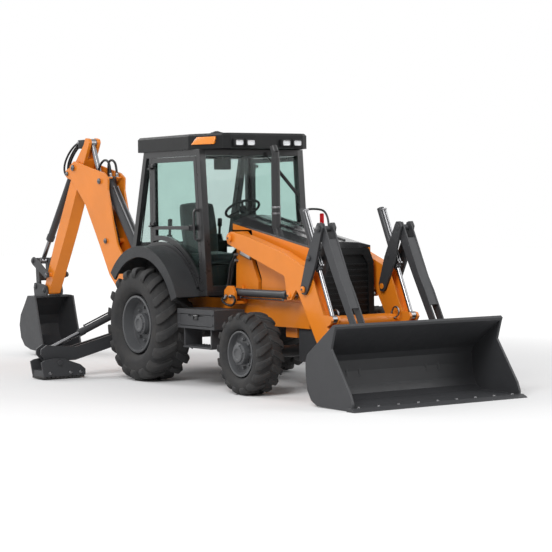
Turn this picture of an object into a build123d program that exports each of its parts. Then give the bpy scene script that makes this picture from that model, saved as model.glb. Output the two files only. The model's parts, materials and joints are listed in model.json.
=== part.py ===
"""Backhoe loader: cab tractor with a front loader and a rear hoe on stabilisers."""
import os
from math import cos, hypot, radians, sin, sqrt

from build123d import *

# Wheels, in millimetres; X runs forward from the rear axle, Y to the left, Z up
WHEELBASE = 2134
REAR_R, REAR_W, REAR_Y = 645, 480, 830
FRONT_R, FRONT_W, FRONT_Y = 430, 330, 865
REAR_RIM_R, FRONT_RIM_R = 325, 240
KINGPIN_Y = 600
NOSE = WHEELBASE + 426

# Loader pivots in side view, and the layers its plates run in
ARM_PIVOT = (1300, 1620)
LIFT_BASE = (1300, 1030)
LIFT_EYE = (2420, 1030)
BUCKET_HINGE = (3285, 285)
HITCH_PIN = (3560, 720)
LINK_PIN = (2730, 1103)
LINK_TOP = (3010, 1722)
TILT_TRUNNION = (2834, 1423)
TILT_EYE = (3120, 809)
ARM_Y, ARM_W = 500, 120
EAR_IN, EAR_OUT = 66, 90
STRUT_IN, STRUT_OUT = 46, 61
BUCKET_W = 2100
TOWER_Y = 405

# Hoe pivots in side view
SWING_X = -1280
BOOM_FOOT = (-1560, 640)
BOOM_ROD = (-1400, 1060)
BOOM_HEAD = (-2460, 2313)
DIPPER_BASE = (-2315, 1555)
DIPPER_PIVOT = (-3176, 2500)
DIPPER_TOP = (-2893, 2815)
HOE_HINGE = (-4100, 880)
HOE_EAR = (-4360, 920)
GUIDE_PIN = (-3975, 1085)
GUIDE_END = (-4380, 1270)
CURL_BASE = (-3450, 2430)
BOOM_W, DIPPER_W, HOE_W = 260, 170, 590
GUIDE_IN, GUIDE_OUT = 128, 150

# Stabilisers, seen from behind: (Y, Z) of the left one
LEG_X, LEG_W = -930, 140
LEG_PIVOT = (420, 530)
LEG_RAM_TOP = (400, 870)
LEG_RAM_EYE = (1720, 320)

# Cab and hood
CAB_Y = 690
CAB_FLOOR = 1030
ROOF_LOW, ROOF_TOP = 2600, 2770
FENDER_R = 885
DOOR_HINGE_X = -135
DOOR_PIN = (DOOR_HINGE_X - 22, CAB_Y + 25)
HOOD_HALF = 385

# Tie-down eyes and the slack of a pin in its hole
EYE_R, EYE_T = 24, 30
GAP = 0.3
SIDES = (1, -1)


def plate(points, y_low, y_high, radius=0):
    """A side-view outline of (X, Z) points, filled from y_low to y_high."""
    line = FilletPolyline(*points, radius=radius, close=True) if radius else Polyline(*points, close=True)
    return extrude(Plane.XZ.offset(-y_low) * make_face(line), amount=y_high - y_low, dir=(0, 1, 0))


def end_plate(points, x_low, x_high, radius=0):
    """A rear-view outline of (Y, Z) points, filled from x_low to x_high."""
    line = FilletPolyline(*points, radius=radius, close=True) if radius else Polyline(*points, close=True)
    return extrude(Plane.YZ.offset(x_low) * make_face(line), amount=x_high - x_low, dir=(1, 0, 0))


def bar(start, end, radius):
    """A round bar from one point to another."""
    start, end = Vector(*start), Vector(*end)
    along = end - start
    standing = Cylinder(radius, along.length, align=(Align.CENTER, Align.CENTER, Align.MIN))
    return Plane(start, z_dir=along) * standing


def pin(point, y_low, y_high, radius):
    """A round bar across the machine at a side-view point."""
    return bar((point[0], y_low, point[1]), (point[0], y_high, point[1]), radius)


def block(x, y, z):
    """A box between pairs of limits."""
    middle = Pos((x[0] + x[1]) / 2, (y[0] + y[1]) / 2, (z[0] + z[1]) / 2)
    return middle * Box(x[1] - x[0], y[1] - y[0], z[1] - z[0])


def flip(shape):
    """The same shape on the other side of the machine."""
    return mirror(shape, about=Plane.XZ)


def both(shape):
    """A shape on the left and its twin on the right."""
    return group(shape, flip(shape))


def group(*shapes):
    """Several solids as one piece."""
    return Compound([solid for shape in shapes for solid in shape.solids()])


def on_side(shape, side):
    """A left-hand shape on the side asked for."""
    return shape if side > 0 else flip(shape)


def point_between(start, end, distance):
    """The point that lies a distance from start on the way to end."""
    length = hypot(end[0] - start[0], end[1] - start[1])
    return tuple(a + (b - a) * distance / length for a, b in zip(start, end))


def span(start, end):
    """The distance between two points."""
    return hypot(end[0] - start[0], end[1] - start[1])


def arc_band(inner, outer, start, stop, y_low, y_high):
    """A curved strip about the rear axle, angles in degrees from +X."""
    middle, far = (0, REAR_R), outer * 3
    steps = [radians(start + (stop - start) * k / 3) for k in range(4)]
    wedge = plate([middle] + [(far * cos(a), REAR_R + far * sin(a)) for a in steps], y_low, y_high)
    return wedge & (pin(middle, y_low, y_high, outer) - pin(middle, y_low - 1, y_high + 1, inner))


def cylinder_pair(base, eye, y, sizes, reach, to_space):
    """Barrel and rod of a hydraulic cylinder between two plane points.

    sizes holds the barrel, rod and eye radii with the eye width, and reach the
    shortest pin-to-pin length it has to close to.
    """
    barrel_r, rod_r, eye_r, eye_w = sizes
    length = span(base, eye)
    barrel_end = reach - eye_r - 25
    bore_start = eye_r + 45

    def place(distance):
        return to_space(point_between(base, eye, distance), y)

    def across(point, width, radius):
        return bar(to_space(point, y - width / 2), to_space(point, y + width / 2), radius)

    barrel = bar(place(eye_r * 0.6), place(barrel_end), barrel_r)
    barrel += bar(place(barrel_end - 70), place(barrel_end), barrel_r * 1.14)
    barrel += across(base, eye_w, eye_r)
    barrel -= bar(place(bore_start), place(barrel_end + 5), rod_r + 1)
    rod_start = length - (reach - bore_start - 20)
    rod = bar(place(rod_start), place(length - eye_r * 0.5), rod_r)
    rod += across(eye, eye_w, eye_r)
    return barrel, rod


def side_space(point, y):
    """A side-view point at a Y position."""
    return (point[0], y, point[1])


def leg_space(point, x):
    """A rear-view point at an X position."""
    return (x, point[0], point[1])


# Wheels
def tyre(radius, width, rim_r, lugs, lug_w, lug_angle):
    """A tyre about the Y axis, with two rows of slanted bars."""
    half, depth = width / 2, radius - rim_r
    lug = 0.055 * radius
    carcass = radius - lug
    section = [
        (rim_r + GAP, -half * 0.78), (rim_r + 0.3 * depth, -half * 0.97),
        (rim_r + 0.62 * depth, -half * 0.97),
        (carcass - 0.02 * depth, -half * 0.86), (carcass, 0), (carcass - 0.02 * depth, half * 0.86),
        (rim_r + 0.62 * depth, half * 0.97), (rim_r + 0.3 * depth, half * 0.97), (rim_r + GAP, half * 0.78),
    ]
    body = revolve(make_face(Polyline(*section, close=True)), axis=Axis.Y)
    length = half * 1.04 / cos(radians(lug_angle))
    reach = length / 2 * sin(radians(lug_angle)) + lug_w / 2 * cos(radians(lug_angle))
    top = sqrt(radius ** 2 - reach ** 2)
    tall = lug * 2.4
    one = Pos(0, half * 0.46, top - tall / 2) * Rot(0, 0, lug_angle) * Box(lug_w, length, tall)
    one &= Box(4 * radius, width, 4 * radius)
    row = [Rot(0, 360 / lugs * k, 0) * one for k in range(lugs)]
    twin = mirror(one, about=Plane.XZ)
    row += [Rot(0, 360 / lugs * (k + 0.5), 0) * twin for k in range(lugs)]
    return body + row


def rim(rim_r, width, dish, hub_r, bore_r):
    """A wheel rim about the Y axis; its disc is set in from the outer face."""
    half = width * 0.39
    thick = 0.07 * rim_r
    section = [
        (rim_r, -half), (rim_r, half), (rim_r - thick, half), (rim_r - 2 * thick, half - dish + 30),
        (hub_r, half - dish + 30), (hub_r, half - dish + 75), (bore_r, half - dish + 75),
        (bore_r, half - dish - 60), (hub_r, half - dish - 60), (hub_r, half - dish),
        (rim_r - 2 * thick, half - dish), (rim_r - thick, -half),
    ]
    return revolve(make_face(Polyline(*section, close=True)), axis=Axis.Y)


def wheels():
    """Tyres and rims at the four corners."""
    nodes = {}
    rear = tyre(REAR_R, REAR_W, REAR_RIM_R, 18, 58, 38)
    front = tyre(FRONT_R, FRONT_W, FRONT_RIM_R, 16, 46, 38)
    rear_rim = rim(REAR_RIM_R, REAR_W, 150, 120, 60.3)
    front_rim = rim(FRONT_RIM_R, FRONT_W, 90, 80, 45.3)
    for side, name in zip(SIDES, ("left", "right")):
        at_rear, at_front = Pos(0, REAR_Y, REAR_R), Pos(WHEELBASE, FRONT_Y, FRONT_R)
        nodes[f"rear_tyre_{name}"] = on_side(at_rear * rear, side)
        nodes[f"rear_rim_{name}"] = on_side(at_rear * rear_rim, side)
        nodes[f"front_tyre_{name}"] = on_side(at_front * front, side)
        nodes[f"front_rim_{name}"] = on_side(at_front * front_rim, side)
    return nodes


def axles():
    """Rear axle, front axle and the two steering knuckles."""
    rear_z, front_z = REAR_R, FRONT_R
    rear = bar((0, -560, rear_z), (0, 560, rear_z), 95)
    rear += bar((0, -190, rear_z), (0, 190, rear_z), 190)
    for side in SIDES:
        rear += bar((0, side * 530, rear_z), (0, side * 575, rear_z), 165)
        rear += bar((0, side * 560, rear_z), (0, side * (REAR_Y + 20), rear_z), 60)
        rear += block((-90, 90), sorted((side * 330, side * 420)), (rear_z, 760))
    front = bar((WHEELBASE, -540, front_z), (WHEELBASE, 540, front_z), 62)
    front += block((WHEELBASE - 110, WHEELBASE + 110), (-130, 130), (front_z - 95, front_z + 140))
    for side in SIDES:
        y = side * KINGPIN_Y
        front += bar((WHEELBASE, y, front_z - 100), (WHEELBASE, y, front_z + 100), 62)
        front -= bar((WHEELBASE, y, front_z - 101), (WHEELBASE, y, front_z + 101), 28 + GAP)
    knuckle = bar((WHEELBASE, KINGPIN_Y, front_z - 145), (WHEELBASE, KINGPIN_Y, front_z + 145), 28)
    for low, high in ((-145, -105), (105, 145)):
        knuckle += bar((WHEELBASE, KINGPIN_Y, front_z + low), (WHEELBASE, KINGPIN_Y, front_z + high), 62)
        knuckle += block((WHEELBASE - 55, WHEELBASE + 55), (KINGPIN_Y, KINGPIN_Y + 105),
                         (front_z + low, front_z + high))
    knuckle += block((WHEELBASE - 70, WHEELBASE + 70), (KINGPIN_Y + 75, KINGPIN_Y + 105),
                     (front_z - 145, front_z + 145))
    knuckle += bar((WHEELBASE, KINGPIN_Y + 100, front_z), (WHEELBASE, FRONT_Y + 85, front_z), 45)
    return {
        "rear_axle": rear, "front_axle": front,
        "knuckle_left": knuckle, "knuckle_right": flip(knuckle),
    }


# Chassis
def eye_plate(x, out, z, y):
    """A tie-down eye that stands out from a face at x, on the side out points to."""
    lug = plate([(x - out * 0.1, z), (x + out, z), (x + out * 1.6, z + 50), (x + out, z + 100),
                 (x - out * 0.1, z + 100)],
                y - EYE_T / 2, y + EYE_T / 2)
    return lug - pin((x + out * 0.75, z + 50), y - EYE_T, y + EYE_T, EYE_R)


def chassis():
    """Side rails with the loader towers, the engine and the front weight."""
    rail_in, rail_out = TOWER_Y - 70, TOWER_Y
    rail = plate([(-800, 760), (-800, 950), (NOSE, 950), (NOSE, 680), (1200, 680), (1080, 760)], rail_in,
                 rail_out)
    tower = plate([(1150, 940), (1185, 1640), (1250, 1690), (1350, 1690), (1420, 1630), (1480, 1380),
                   (1600, 1150), (1600, 940)], TOWER_Y - 45, TOWER_Y, radius=18)
    arm_pin = pin(ARM_PIVOT, TOWER_Y - 10, ARM_Y + ARM_W / 2 + 18, 38)
    half = rail + tower + arm_pin
    for y in (ARM_Y - 75, ARM_Y + 45):
        half += plate([(1180, 930), (1180, 1050), (1250, 1100), (1340, 1100), (1390, 1030), (1390, 930)],
                      y, y + 30, radius=14)
    half += block((1180, 1390), (TOWER_Y - 5, ARM_Y + 75), (905, 935))
    half += pin(LIFT_BASE, ARM_Y - 60, ARM_Y + 60, 22)
    frame = half + flip(half)
    for x in ((-800, -740), (205, 285), (NOSE - 80, NOSE)):
        frame += block(x, (-rail_in - 5, rail_in + 5), (780, 930))
    frame += block((WHEELBASE - 105, WHEELBASE + 105), (-rail_in - 5, rail_in + 5), (FRONT_R + 140, 700))
    engine = block((1420, NOSE - 230), (-255, 255), (700, 1440)) + block((320, 1420), (-230, 230), (620, 930))
    engine -= block((WHEELBASE - 125, WHEELBASE + 125), (-300, 300), (600, 720))
    for x, z in ((1700, 780), (600, 820)):
        engine += block((x, x + 120), (-rail_in, rail_in), (z, z + 50))
    weight = block((NOSE - 230, NOSE + 160), (-380, 380), (330, 680))
    weight += block((NOSE, NOSE + 160), (-380, 380), (670, 720))
    for side in SIDES:
        weight += eye_plate(NOSE + 160, 60, 400, side * 200)
    return {"chassis_frame": frame, "engine_block": engine, "front_weight": weight}


def rear_frame():
    """The cross frame that carries the stabilisers and the swing post."""
    wall = [(-520, 400), (-520, 900), (-470, 975), (470, 975), (520, 900), (520, 400)]
    frame = end_plate(wall, LEG_X + 100, LEG_X + 130, radius=20)
    frame += end_plate(wall, LEG_X - 130, LEG_X - 100, radius=20)
    frame += block((LEG_X - 101, LEG_X + 101), (-300, 300), (420, 960))
    for side in SIDES:
        for point in (LEG_PIVOT, LEG_RAM_TOP):
            y = side * point[0]
            frame += bar((LEG_X - 101, y, point[1]), (LEG_X + 101, y, point[1]), 32)
    rear = LEG_X - 129
    for low, high, half in ((885, 945, 85), (400, 460, 150)):
        ear = block((SWING_X, rear), (-half, half), (low, high))
        frame += ear + bar((SWING_X, 0, low), (SWING_X, 0, high), 95)
    frame += bar((SWING_X, 0, 385), (SWING_X, 0, 965), 45)
    for side in SIDES:
        frame += eye_plate(LEG_X - 130, -50, 385, side * 440)
    return {"rear_frame": frame}


def steps():
    """Boarding steps with a tool box on both sides."""
    outer = 910
    box = block((735, 1500), (520, outer), (640, 850))
    box -= block((790, 1445), (outer - 14, outer + 1), (665, 800))
    box += block((790, 1445), (outer - 40, outer - 6), (672, 792))
    box -= block((960, 1275), (outer - 20, outer + 1), (770, 800))
    box += block((820, 1400), (640, outer - 20), (425, 445))
    for x in ((820, 845), (1375, 1400)):
        box += block(x, (660, outer - 30), (440, 645))
    box += block((760, 1480), (TOWER_Y, 525), (700, 760))
    return {"steps": both(box)}


def fenders():
    """Curved covers over the rear tyres."""
    top = arc_band(FENDER_R - 28, FENDER_R, 22, 140, 556, 970)
    skirt = arc_band(FENDER_R - 125, FENDER_R, 22, 140, 942, 970)
    return {"fenders": both(top + skirt)}


# Cab
def pillar_x(z):
    """X of the front pillar's leading face at a height."""
    return 1010 - (z - CAB_FLOOR) * 0.077


def rear_x(z):
    """X of the rear pillar's trailing face at a height."""
    return -650 + (z - 1500) * 0.28


def arch(radius, x):
    """Height of an arc about the rear axle at an X position."""
    return REAR_R + sqrt(radius ** 2 - x ** 2)


def cab():
    """Floor, frame, roof, glass, doors and what the operator sits at."""
    nodes = {}
    top, inner = ROOF_LOW, CAB_Y - 75
    deck = CAB_FLOOR - 45
    wall_x, wall_y = -610, 555
    floor = block((830, 1010), (-CAB_Y, CAB_Y), (deck, CAB_FLOOR))
    floor += block((wall_x, 840), (-wall_y, wall_y), (deck, CAB_FLOOR))
    for x in ((-560, -420), (560, 900)):
        for side in SIDES:
            floor += block(x, sorted((side * (TOWER_Y - 65), side * (TOWER_Y - 5))), (950, deck + 5))
    under_arch = pin((0, REAR_R), wall_y - 30, wall_y, FENDER_R - 28 - GAP)
    wheel_box = block((wall_x, 810), (wall_y - 30, wall_y), (CAB_FLOOR, 1700)) & under_arch
    rear_wall = block((wall_x - 40, wall_x), (-wall_y, wall_y), (deck, 1500))
    plinth = block((-300, 120), (-330, 330), (CAB_FLOOR, 1290))
    plinth -= block((-270, 90), (-300, 300), (CAB_FLOOR - 1, 1260))
    nodes["cab_base"] = group(floor, wheel_box, flip(wheel_box), rear_wall, plinth)

    post = plate([(pillar_x(CAB_FLOOR) - 75, CAB_FLOOR), (pillar_x(CAB_FLOOR), CAB_FLOOR),
                  (pillar_x(top), top), (pillar_x(top) - 75, top)], inner, CAB_Y)
    post += plate([(rear_x(1480), 1480), (rear_x(top), top), (rear_x(top) + 75, top),
                   (rear_x(1480) + 85, 1480)], inner, CAB_Y)
    post += plate([(DOOR_HINGE_X - 85, arch(FENDER_R + 20, DOOR_HINGE_X - 85)), (DOOR_HINGE_X - 85, top),
                   (DOOR_HINGE_X - 25, top), (DOOR_HINGE_X - 25, arch(FENDER_R + 20, DOOR_HINGE_X - 25))],
                   inner, CAB_Y)
    post += plate([(rear_x(top), top - 70), (rear_x(top), top), (pillar_x(top), top),
                   (pillar_x(top), top - 70)], inner, CAB_Y)
    post += arc_band(FENDER_R + GAP, FENDER_R + 45, 28, 130, inner, CAB_Y)
    pin_x, pin_y = DOOR_PIN
    hinge_z = (1740, 2400)
    for z in hinge_z:
        post += block((pin_x - 58, pin_x), (CAB_Y - 5, pin_y + 1), (z, z + 20))
        post += bar((pin_x, pin_y, z), (pin_x, pin_y, z + 20), 16)
        post += bar((pin_x, pin_y, z), (pin_x, pin_y, z + 62), 8)
    front_header = block((pillar_x(top) - 75, pillar_x(top)), (-inner, inner), (top - 70, top))
    rear_header = block((rear_x(top), rear_x(top) + 75), (-inner, inner), (top - 70, top))
    rear_sill = plate([(rear_x(1505), 1505), (rear_x(1560), 1560), (rear_x(1560) + 60, 1560),
                       (rear_x(1505) + 60, 1505)], -inner, inner)
    front_sill = block((pillar_x(CAB_FLOOR) - 60, pillar_x(CAB_FLOOR) - 5), (-inner, inner),
                       (CAB_FLOOR, 1090))
    nodes["cab_frame"] = group(post, flip(post), front_header, rear_header, rear_sill, front_sill)

    plan = [(-500, -640), (-440, -715), (700, -715), (1160, -560), (1200, -480), (1200, 480), (1160, 560),
            (700, 715), (-440, 715), (-500, 640)]
    skin = make_face(FilletPolyline(*plan, radius=30, close=True))
    outer = Pos(0, 0, ROOF_LOW) * extrude(skin, amount=ROOF_TOP - ROOF_LOW)
    outer = chamfer(outer.faces().sort_by(Axis.Z)[-1].edges(), 25)
    room = [(-440, -600), (-400, -650), (700, -650), (1080, -520), (1110, -460), (1110, 460), (1080, 520),
            (700, 650),
            (-400, 650), (-440, 600)]
    hollow = Pos(0, 0, ROOF_LOW - 1) * extrude(make_face(Polyline(*room, close=True)),
                                               amount=ROOF_TOP - ROOF_LOW - 60)
    nodes["cab_roof"] = outer - hollow + block((-350, 850), (-inner, inner), (ROOF_LOW, ROOF_LOW + 20)) + [
        block((-380, 800), sorted((side * 560, side * 652)), (ROOF_LOW, ROOF_LOW + 40)) for side in SIDES]

    low_front, low_rear, head = 1090, 1560, top - 70
    pane = plate([(pillar_x(low_front) - 44, low_front), (pillar_x(low_front) - 36, low_front),
                  (pillar_x(head) - 36, head), (pillar_x(head) - 44, head)], -inner, inner)
    back = plate([(rear_x(low_rear) + 34, low_rear), (rear_x(low_rear) + 42, low_rear),
                  (rear_x(head) + 42, head), (rear_x(head) + 34, head)], -inner, inner)
    sill = [(x, arch(FENDER_R + 48, x)) for x in (DOOR_HINGE_X - 87, -300, -380, -440)]
    quarter = plate(sill + [(rear_x(1500) + 92, arch(FENDER_R + 48, rear_x(1500) + 92)),
                            (rear_x(top - 71) + 80, top - 71), (DOOR_HINGE_X - 87, top - 71)], CAB_Y - 44,
                            CAB_Y - 36)
    nodes["cab_glass"] = group(pane, back, quarter, flip(quarter))

    edge, band, ring = 8, 55, FENDER_R + 60
    low, high = CAB_FLOOR + 8, top - 74

    def door_outline(inset):
        hinge, radius = DOOR_HINGE_X - 20 + inset, ring + inset
        front = pillar_x(low) - 75 - edge - inset
        foot = min(sqrt(radius ** 2 - (low + inset - REAR_R) ** 2), front - 20)
        curve = [(radius * cos(radians(a)), REAR_R + radius * sin(radians(a))) for a in range(94, 24, -6)]
        curve = [p for p in curve if hinge + 8 < p[0] < foot - 8 and p[1] > low + inset + 8]
        return [(hinge, high - inset), (hinge, arch(radius, hinge))] + curve + [
            (foot, low + inset), (front, low + inset), (pillar_x(high) - 75 - edge - inset, high - inset)]

    leaf = plate(door_outline(0), CAB_Y - 45, CAB_Y)
    waist = block((DOOR_HINGE_X, pillar_x(1730) - 100), (CAB_Y - 45, CAB_Y), (1712, 1752))
    light = plate(door_outline(band), CAB_Y - 60, CAB_Y + 10)
    door = leaf - (light - waist)
    glass = plate(door_outline(band), CAB_Y - 27, CAB_Y - 19) - door
    for z in hinge_z:
        door += block((pin_x + 4, pin_x + 70), (CAB_Y - 5, pin_y + 8), (z + 21, z + 55))
        door += bar((pin_x, pin_y, z + 21), (pin_x, pin_y, z + 55), 16)
        door -= bar((pin_x, pin_y, z + 20), (pin_x, pin_y, z + 56), 8 + GAP)
    for side, name in zip(SIDES, ("left", "right")):
        nodes[f"door_{name}"] = on_side(door, side)
        nodes[f"door_glass_{name}"] = on_side(group(glass), side)

    seat = block((-210, 250), (-245, 245), (1290, 1440)) + plate(
        [(-215, 1400), (-330, 2020), (-215, 2040), (-95, 1430)], -235, 235, radius=25)
    nodes["seat"] = seat
    wheel = Plane((675, 0, 1935), z_dir=(-0.5, 0, 0.866)) * Torus(195, 15)
    hub = Plane((675, 0, 1935), z_dir=(-0.5, 0, 0.866))
    wheel += hub * Cylinder(45, 40)
    for turn in (90, 210, 330):
        wheel += hub * Rot(0, 0, turn) * Pos(100, 0, 0) * Box(190, 26, 12)
    desk = plate([(900, CAB_FLOOR), (780, CAB_FLOOR), (745, 1500), (690, 1850), (760, 1880), (860, 1800)],
                 -130, 130)
    desk += hub * Pos(0, 0, -90) * Cylinder(40, 150)
    lever = block((-430, -330), (-420, -260), (CAB_FLOOR, 1560))
    lever += bar((-380, -340, 1550), (-360, -340, 1760), 16)
    nodes["cab_controls"] = group(wheel + desk, lever, flip(lever))
    return nodes


def hood():
    """Engine cover with its grille, exhaust stack and the lamps."""
    nodes = {}
    half, skin = HOOD_HALF, 28
    rear, front = 1075, NOSE + 10

    def shoulder(x):
        return 1775 - (x - rear) * 0.175

    side = plate([(rear, 1705), (rear, shoulder(rear)), (front, shoulder(front)), (front, 950), (1640, 950),
                  (1640, 1180), (1520, 1420), (1455, 1705)], half - skin, half)
    nodes["hood_sides"] = both(side)

    def crown(x, drop):
        z, rise = shoulder(x) + GAP, 95 - (x - rear) * 0.02
        wire = Polyline((-half + drop, z), (-half + drop, z + 20 - drop * 0.3),
                        (-half * 0.62, z + rise * 0.8 - drop),
                        (0, z + rise - drop), (half * 0.62, z + rise * 0.8 - drop),
                        (half - drop, z + 20 - drop * 0.3),
                        (half - drop, z), close=True)
        return Plane.YZ.offset(x) * make_face(wire)

    shell = loft([crown(rear, 0), crown(front, 0)]) - loft([crown(rear + 30, 26), crown(front - 30, 26)])
    shell -= bar((1690, -220, 1500), (1690, -220, 2000), 62)
    nodes["hood_top"] = shell

    arch_line = [(-half, 720), (-half, 1360), (-half + 60, 1500), (-260, 1515), (260, 1515),
                 (half - 60, 1500),
                 (half, 1360), (half, 720)]
    front_face = end_plate(arch_line, front, front + 57, radius=30)
    opening = half - 68
    mesh = [(-opening, 790), (-opening, 1330), (-240, 1440), (240, 1440), (opening, 1330), (opening, 790)]
    front_face -= end_plate(mesh, front + 25, front + 70, radius=40)
    for k in range(9):
        front_face += block((front + 24, front + 42), (-opening - 5, opening + 5),
                            (830 + 62 * k, 850 + 62 * k))
    nodes["grille"] = front_face

    stack = bar((1690, -220, 1440), (1690, -220, 2480), 48)
    tip = bar((1690, -220, 2470), (1690, -220, 2545), 40) + bar((1690, -220, 2535), (1650, -220, 2600), 40)
    bore = bar((1690, -220, 2500), (1690, -220, 2545), 34) + bar((1690, -220, 2535), (1646, -220, 2607), 34)
    nodes["exhaust"] = stack + tip - bore

    lamps = []
    for y in (-385, -235, 235, 385):
        lamps.append(block((1200, 1245), (y - 62, y + 62), (2622, 2702)))
    for side in SIDES:
        lamps.append(block((-545, -500), sorted((side * 470, side * 590)), (2622, 2702)))
        lamps.append(Plane((960, side * 644, 2665), x_dir=(0.947, side * -0.32, 0)) * Box(240, 30, 62))
    nodes["lamps"] = group(*lamps)
    return nodes


# Loader
def loader():
    """Lift arms, bucket, tilt links and the four cylinders."""
    y_low, y_high = ARM_Y - ARM_W / 2, ARM_Y + ARM_W / 2
    nodes = {}
    outline = [(1230, 1560), (1235, 1665), (1310, 1690), (1610, 1640), (2280, 1480), (2700, 1330),
               (2830, 1250),
               (3060, 790), (3195, 540), (3265, 440), (3345, 330), (3345, 205), (3245, 190), (3135, 262),
               (2900, 575),
               (2690, 900), (2590, 1055), (2470, 1155), (2360, 1222)]
    arm = plate(outline, y_low, y_high, radius=24)
    arm += plate([(2330, 1240), (2385, 985), (2455, 985), (2560, 1110), (2480, 1160)], y_low, y_high)
    arm += plate([(2985, 850), (3085, 848), (3150, 840), (3175, 800), (3150, 762), (3060, 720)], y_low,
                 y_high)
    arm -= pin(ARM_PIVOT, y_low - 1, y_high + 1, 38 + GAP)
    arm -= pin(BUCKET_HINGE, y_low - 1, y_high + 1, 36 + GAP)
    arm -= plate([(2250, 930), (2250, 1200), (2400, 1240), (2560, 1160), (2560, 930)], ARM_Y - 32, ARM_Y + 32)
    arm -= plate([(2610, 1420), (2678, 1266), (2708, 1254), (2940, 885), (3100, 885), (3100, 1420)],
                 ARM_Y - 46, ARM_Y + 46)
    arm -= plate([(2940, 900), (3035, 735), (3045, 660), (3110, 620), (3400, 620), (3400, 900)], ARM_Y - 33,
                 ARM_Y + 33)
    arm += pin(LINK_PIN, ARM_Y - EAR_OUT - 8, ARM_Y + EAR_OUT + 8, 30)
    tube = pin((2905, 760), -y_low - 5, y_low + 5, 70)
    nodes["lift_arms"] = arm + flip(arm) + tube

    half = BUCKET_W / 2
    shell_out = [(4180, 0), (3600, 12), (3500, 60), (3440, 150), (3412, 300), (3412, 430), (3440, 505),
                 (3890, 815),
                 (3915, 795), (3905, 770), (3470, 480), (3444, 420), (3444, 310), (3470, 170), (3520, 90),
                 (3610, 44),
                 (4180, 34)]
    side = [(4175, 2), (3600, 14), (3500, 62), (3440, 152), (3413, 302), (3413, 430), (3441, 505),
            (3888, 813),
            (3912, 795), (3842, 580), (4150, 150), (4182, 70)]
    tub = plate(shell_out, -half, half)
    for s in SIDES:
        tub += plate(side, *sorted((s * (half - 25), s * half)))
    tub += plate([(4120, 34), (4120, 0), (4250, 0), (4250, 8), (4190, 34)], -half - 25, half + 25)
    ear_line = [(3420, 500), (3225, 365), (3200, 285), (3230, 210), (3300, 195), (3470, 110), (3450, 300)]
    hitch_line = [(3430, 440), (3485, 750), (3530, 787), (3595, 780), (3622, 725), (3640, 650), (3500, 510)]
    for y in (ARM_Y - EAR_OUT, ARM_Y + EAR_IN):
        for s in SIDES:
            limits = sorted((s * y, s * (y + EAR_OUT - EAR_IN)))
            tub += plate(ear_line, *limits) + plate(hitch_line, *limits)
    for s in SIDES:
        tub += pin(BUCKET_HINGE, *sorted((s * (ARM_Y - EAR_OUT - 8), s * (ARM_Y + EAR_OUT + 8))), 36)
    nodes["loader_bucket"] = tub

    rear_line = [(2675, 1128), (2779, 1416), (2960, 1745), (2985, 1782), (3040, 1785), (3070, 1735),
                 (3056, 1690),
                 (2933, 1346), (2790, 1085), (2745, 1045), (2695, 1055)]
    link = Part()
    for y in (ARM_Y - EAR_OUT, ARM_Y + EAR_IN):
        link += plate(rear_line, y, y + EAR_OUT - EAR_IN, radius=14)
    link -= pin(LINK_PIN, ARM_Y - 120, ARM_Y + 120, 30 + GAP)
    link -= pin(TILT_TRUNNION, ARM_Y - 120, ARM_Y + 120, 26 + GAP)
    link += pin(LINK_TOP, ARM_Y - EAR_OUT - 4, ARM_Y + EAR_OUT + 4, 30)
    nodes["rear_links"] = both(link)

    front_line = [(2958, 1690), (2988, 1775), (3048, 1780), (3083, 1720), (3330, 1220), (3420, 1080),
                  (3598, 747),
                  (3600, 705), (3562, 682), (3522, 706), (3305, 1075), (3225, 1215)]
    strut = Part()
    for y in (ARM_Y - STRUT_OUT, ARM_Y + STRUT_IN):
        strut += plate(front_line, y, y + STRUT_OUT - STRUT_IN, radius=10)
    strut += plate([(3110, 1610), (3125, 1617), (3325, 1225), (3413, 1080), (3490, 935), (3478, 927),
                    (3400, 1070),
                    (3312, 1213)], ARM_Y - STRUT_IN - 5, ARM_Y + STRUT_IN + 5)
    strut -= pin(LINK_TOP, ARM_Y - 120, ARM_Y + 120, 30 + GAP)
    nodes["front_links"] = both(strut)

    top = point_between(TILT_EYE, TILT_TRUNNION, span(TILT_EYE, TILT_TRUNNION) + 550)
    neck = point_between(TILT_EYE, TILT_TRUNNION, span(TILT_EYE, TILT_TRUNNION) - 140)
    barrel = bar(side_space(top, ARM_Y), side_space(neck, ARM_Y), 38)
    barrel += bar(side_space(neck, ARM_Y), side_space(point_between(neck, top, 60), ARM_Y), 41)
    barrel += pin(TILT_TRUNNION, ARM_Y - EAR_OUT - 4, ARM_Y + EAR_OUT + 4, 26)
    bore = point_between(top, neck, 30)
    beyond = point_between(top, neck, span(top, neck) + 5)
    barrel -= bar(side_space(bore, ARM_Y), side_space(beyond, ARM_Y), 24)
    nodes["tilt_barrels"] = both(barrel)
    inside = point_between(TILT_EYE, TILT_TRUNNION, span(TILT_EYE, TILT_TRUNNION) + 50)
    rod = bar(side_space(inside, ARM_Y), side_space(TILT_EYE, ARM_Y), 23) + pin(TILT_EYE, ARM_Y - 28,
                                                                                ARM_Y + 28, 40)
    nodes["tilt_rods"] = both(rod)

    barrel, rod = cylinder_pair(LIFT_BASE, LIFT_EYE, ARM_Y, (42, 27, 46, 52), 1080, side_space)
    nodes["lift_barrels"] = both(barrel - pin(LIFT_BASE, ARM_Y - 60, ARM_Y + 60, 22 + GAP))
    nodes["lift_rods"] = both(rod)
    return nodes


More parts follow.
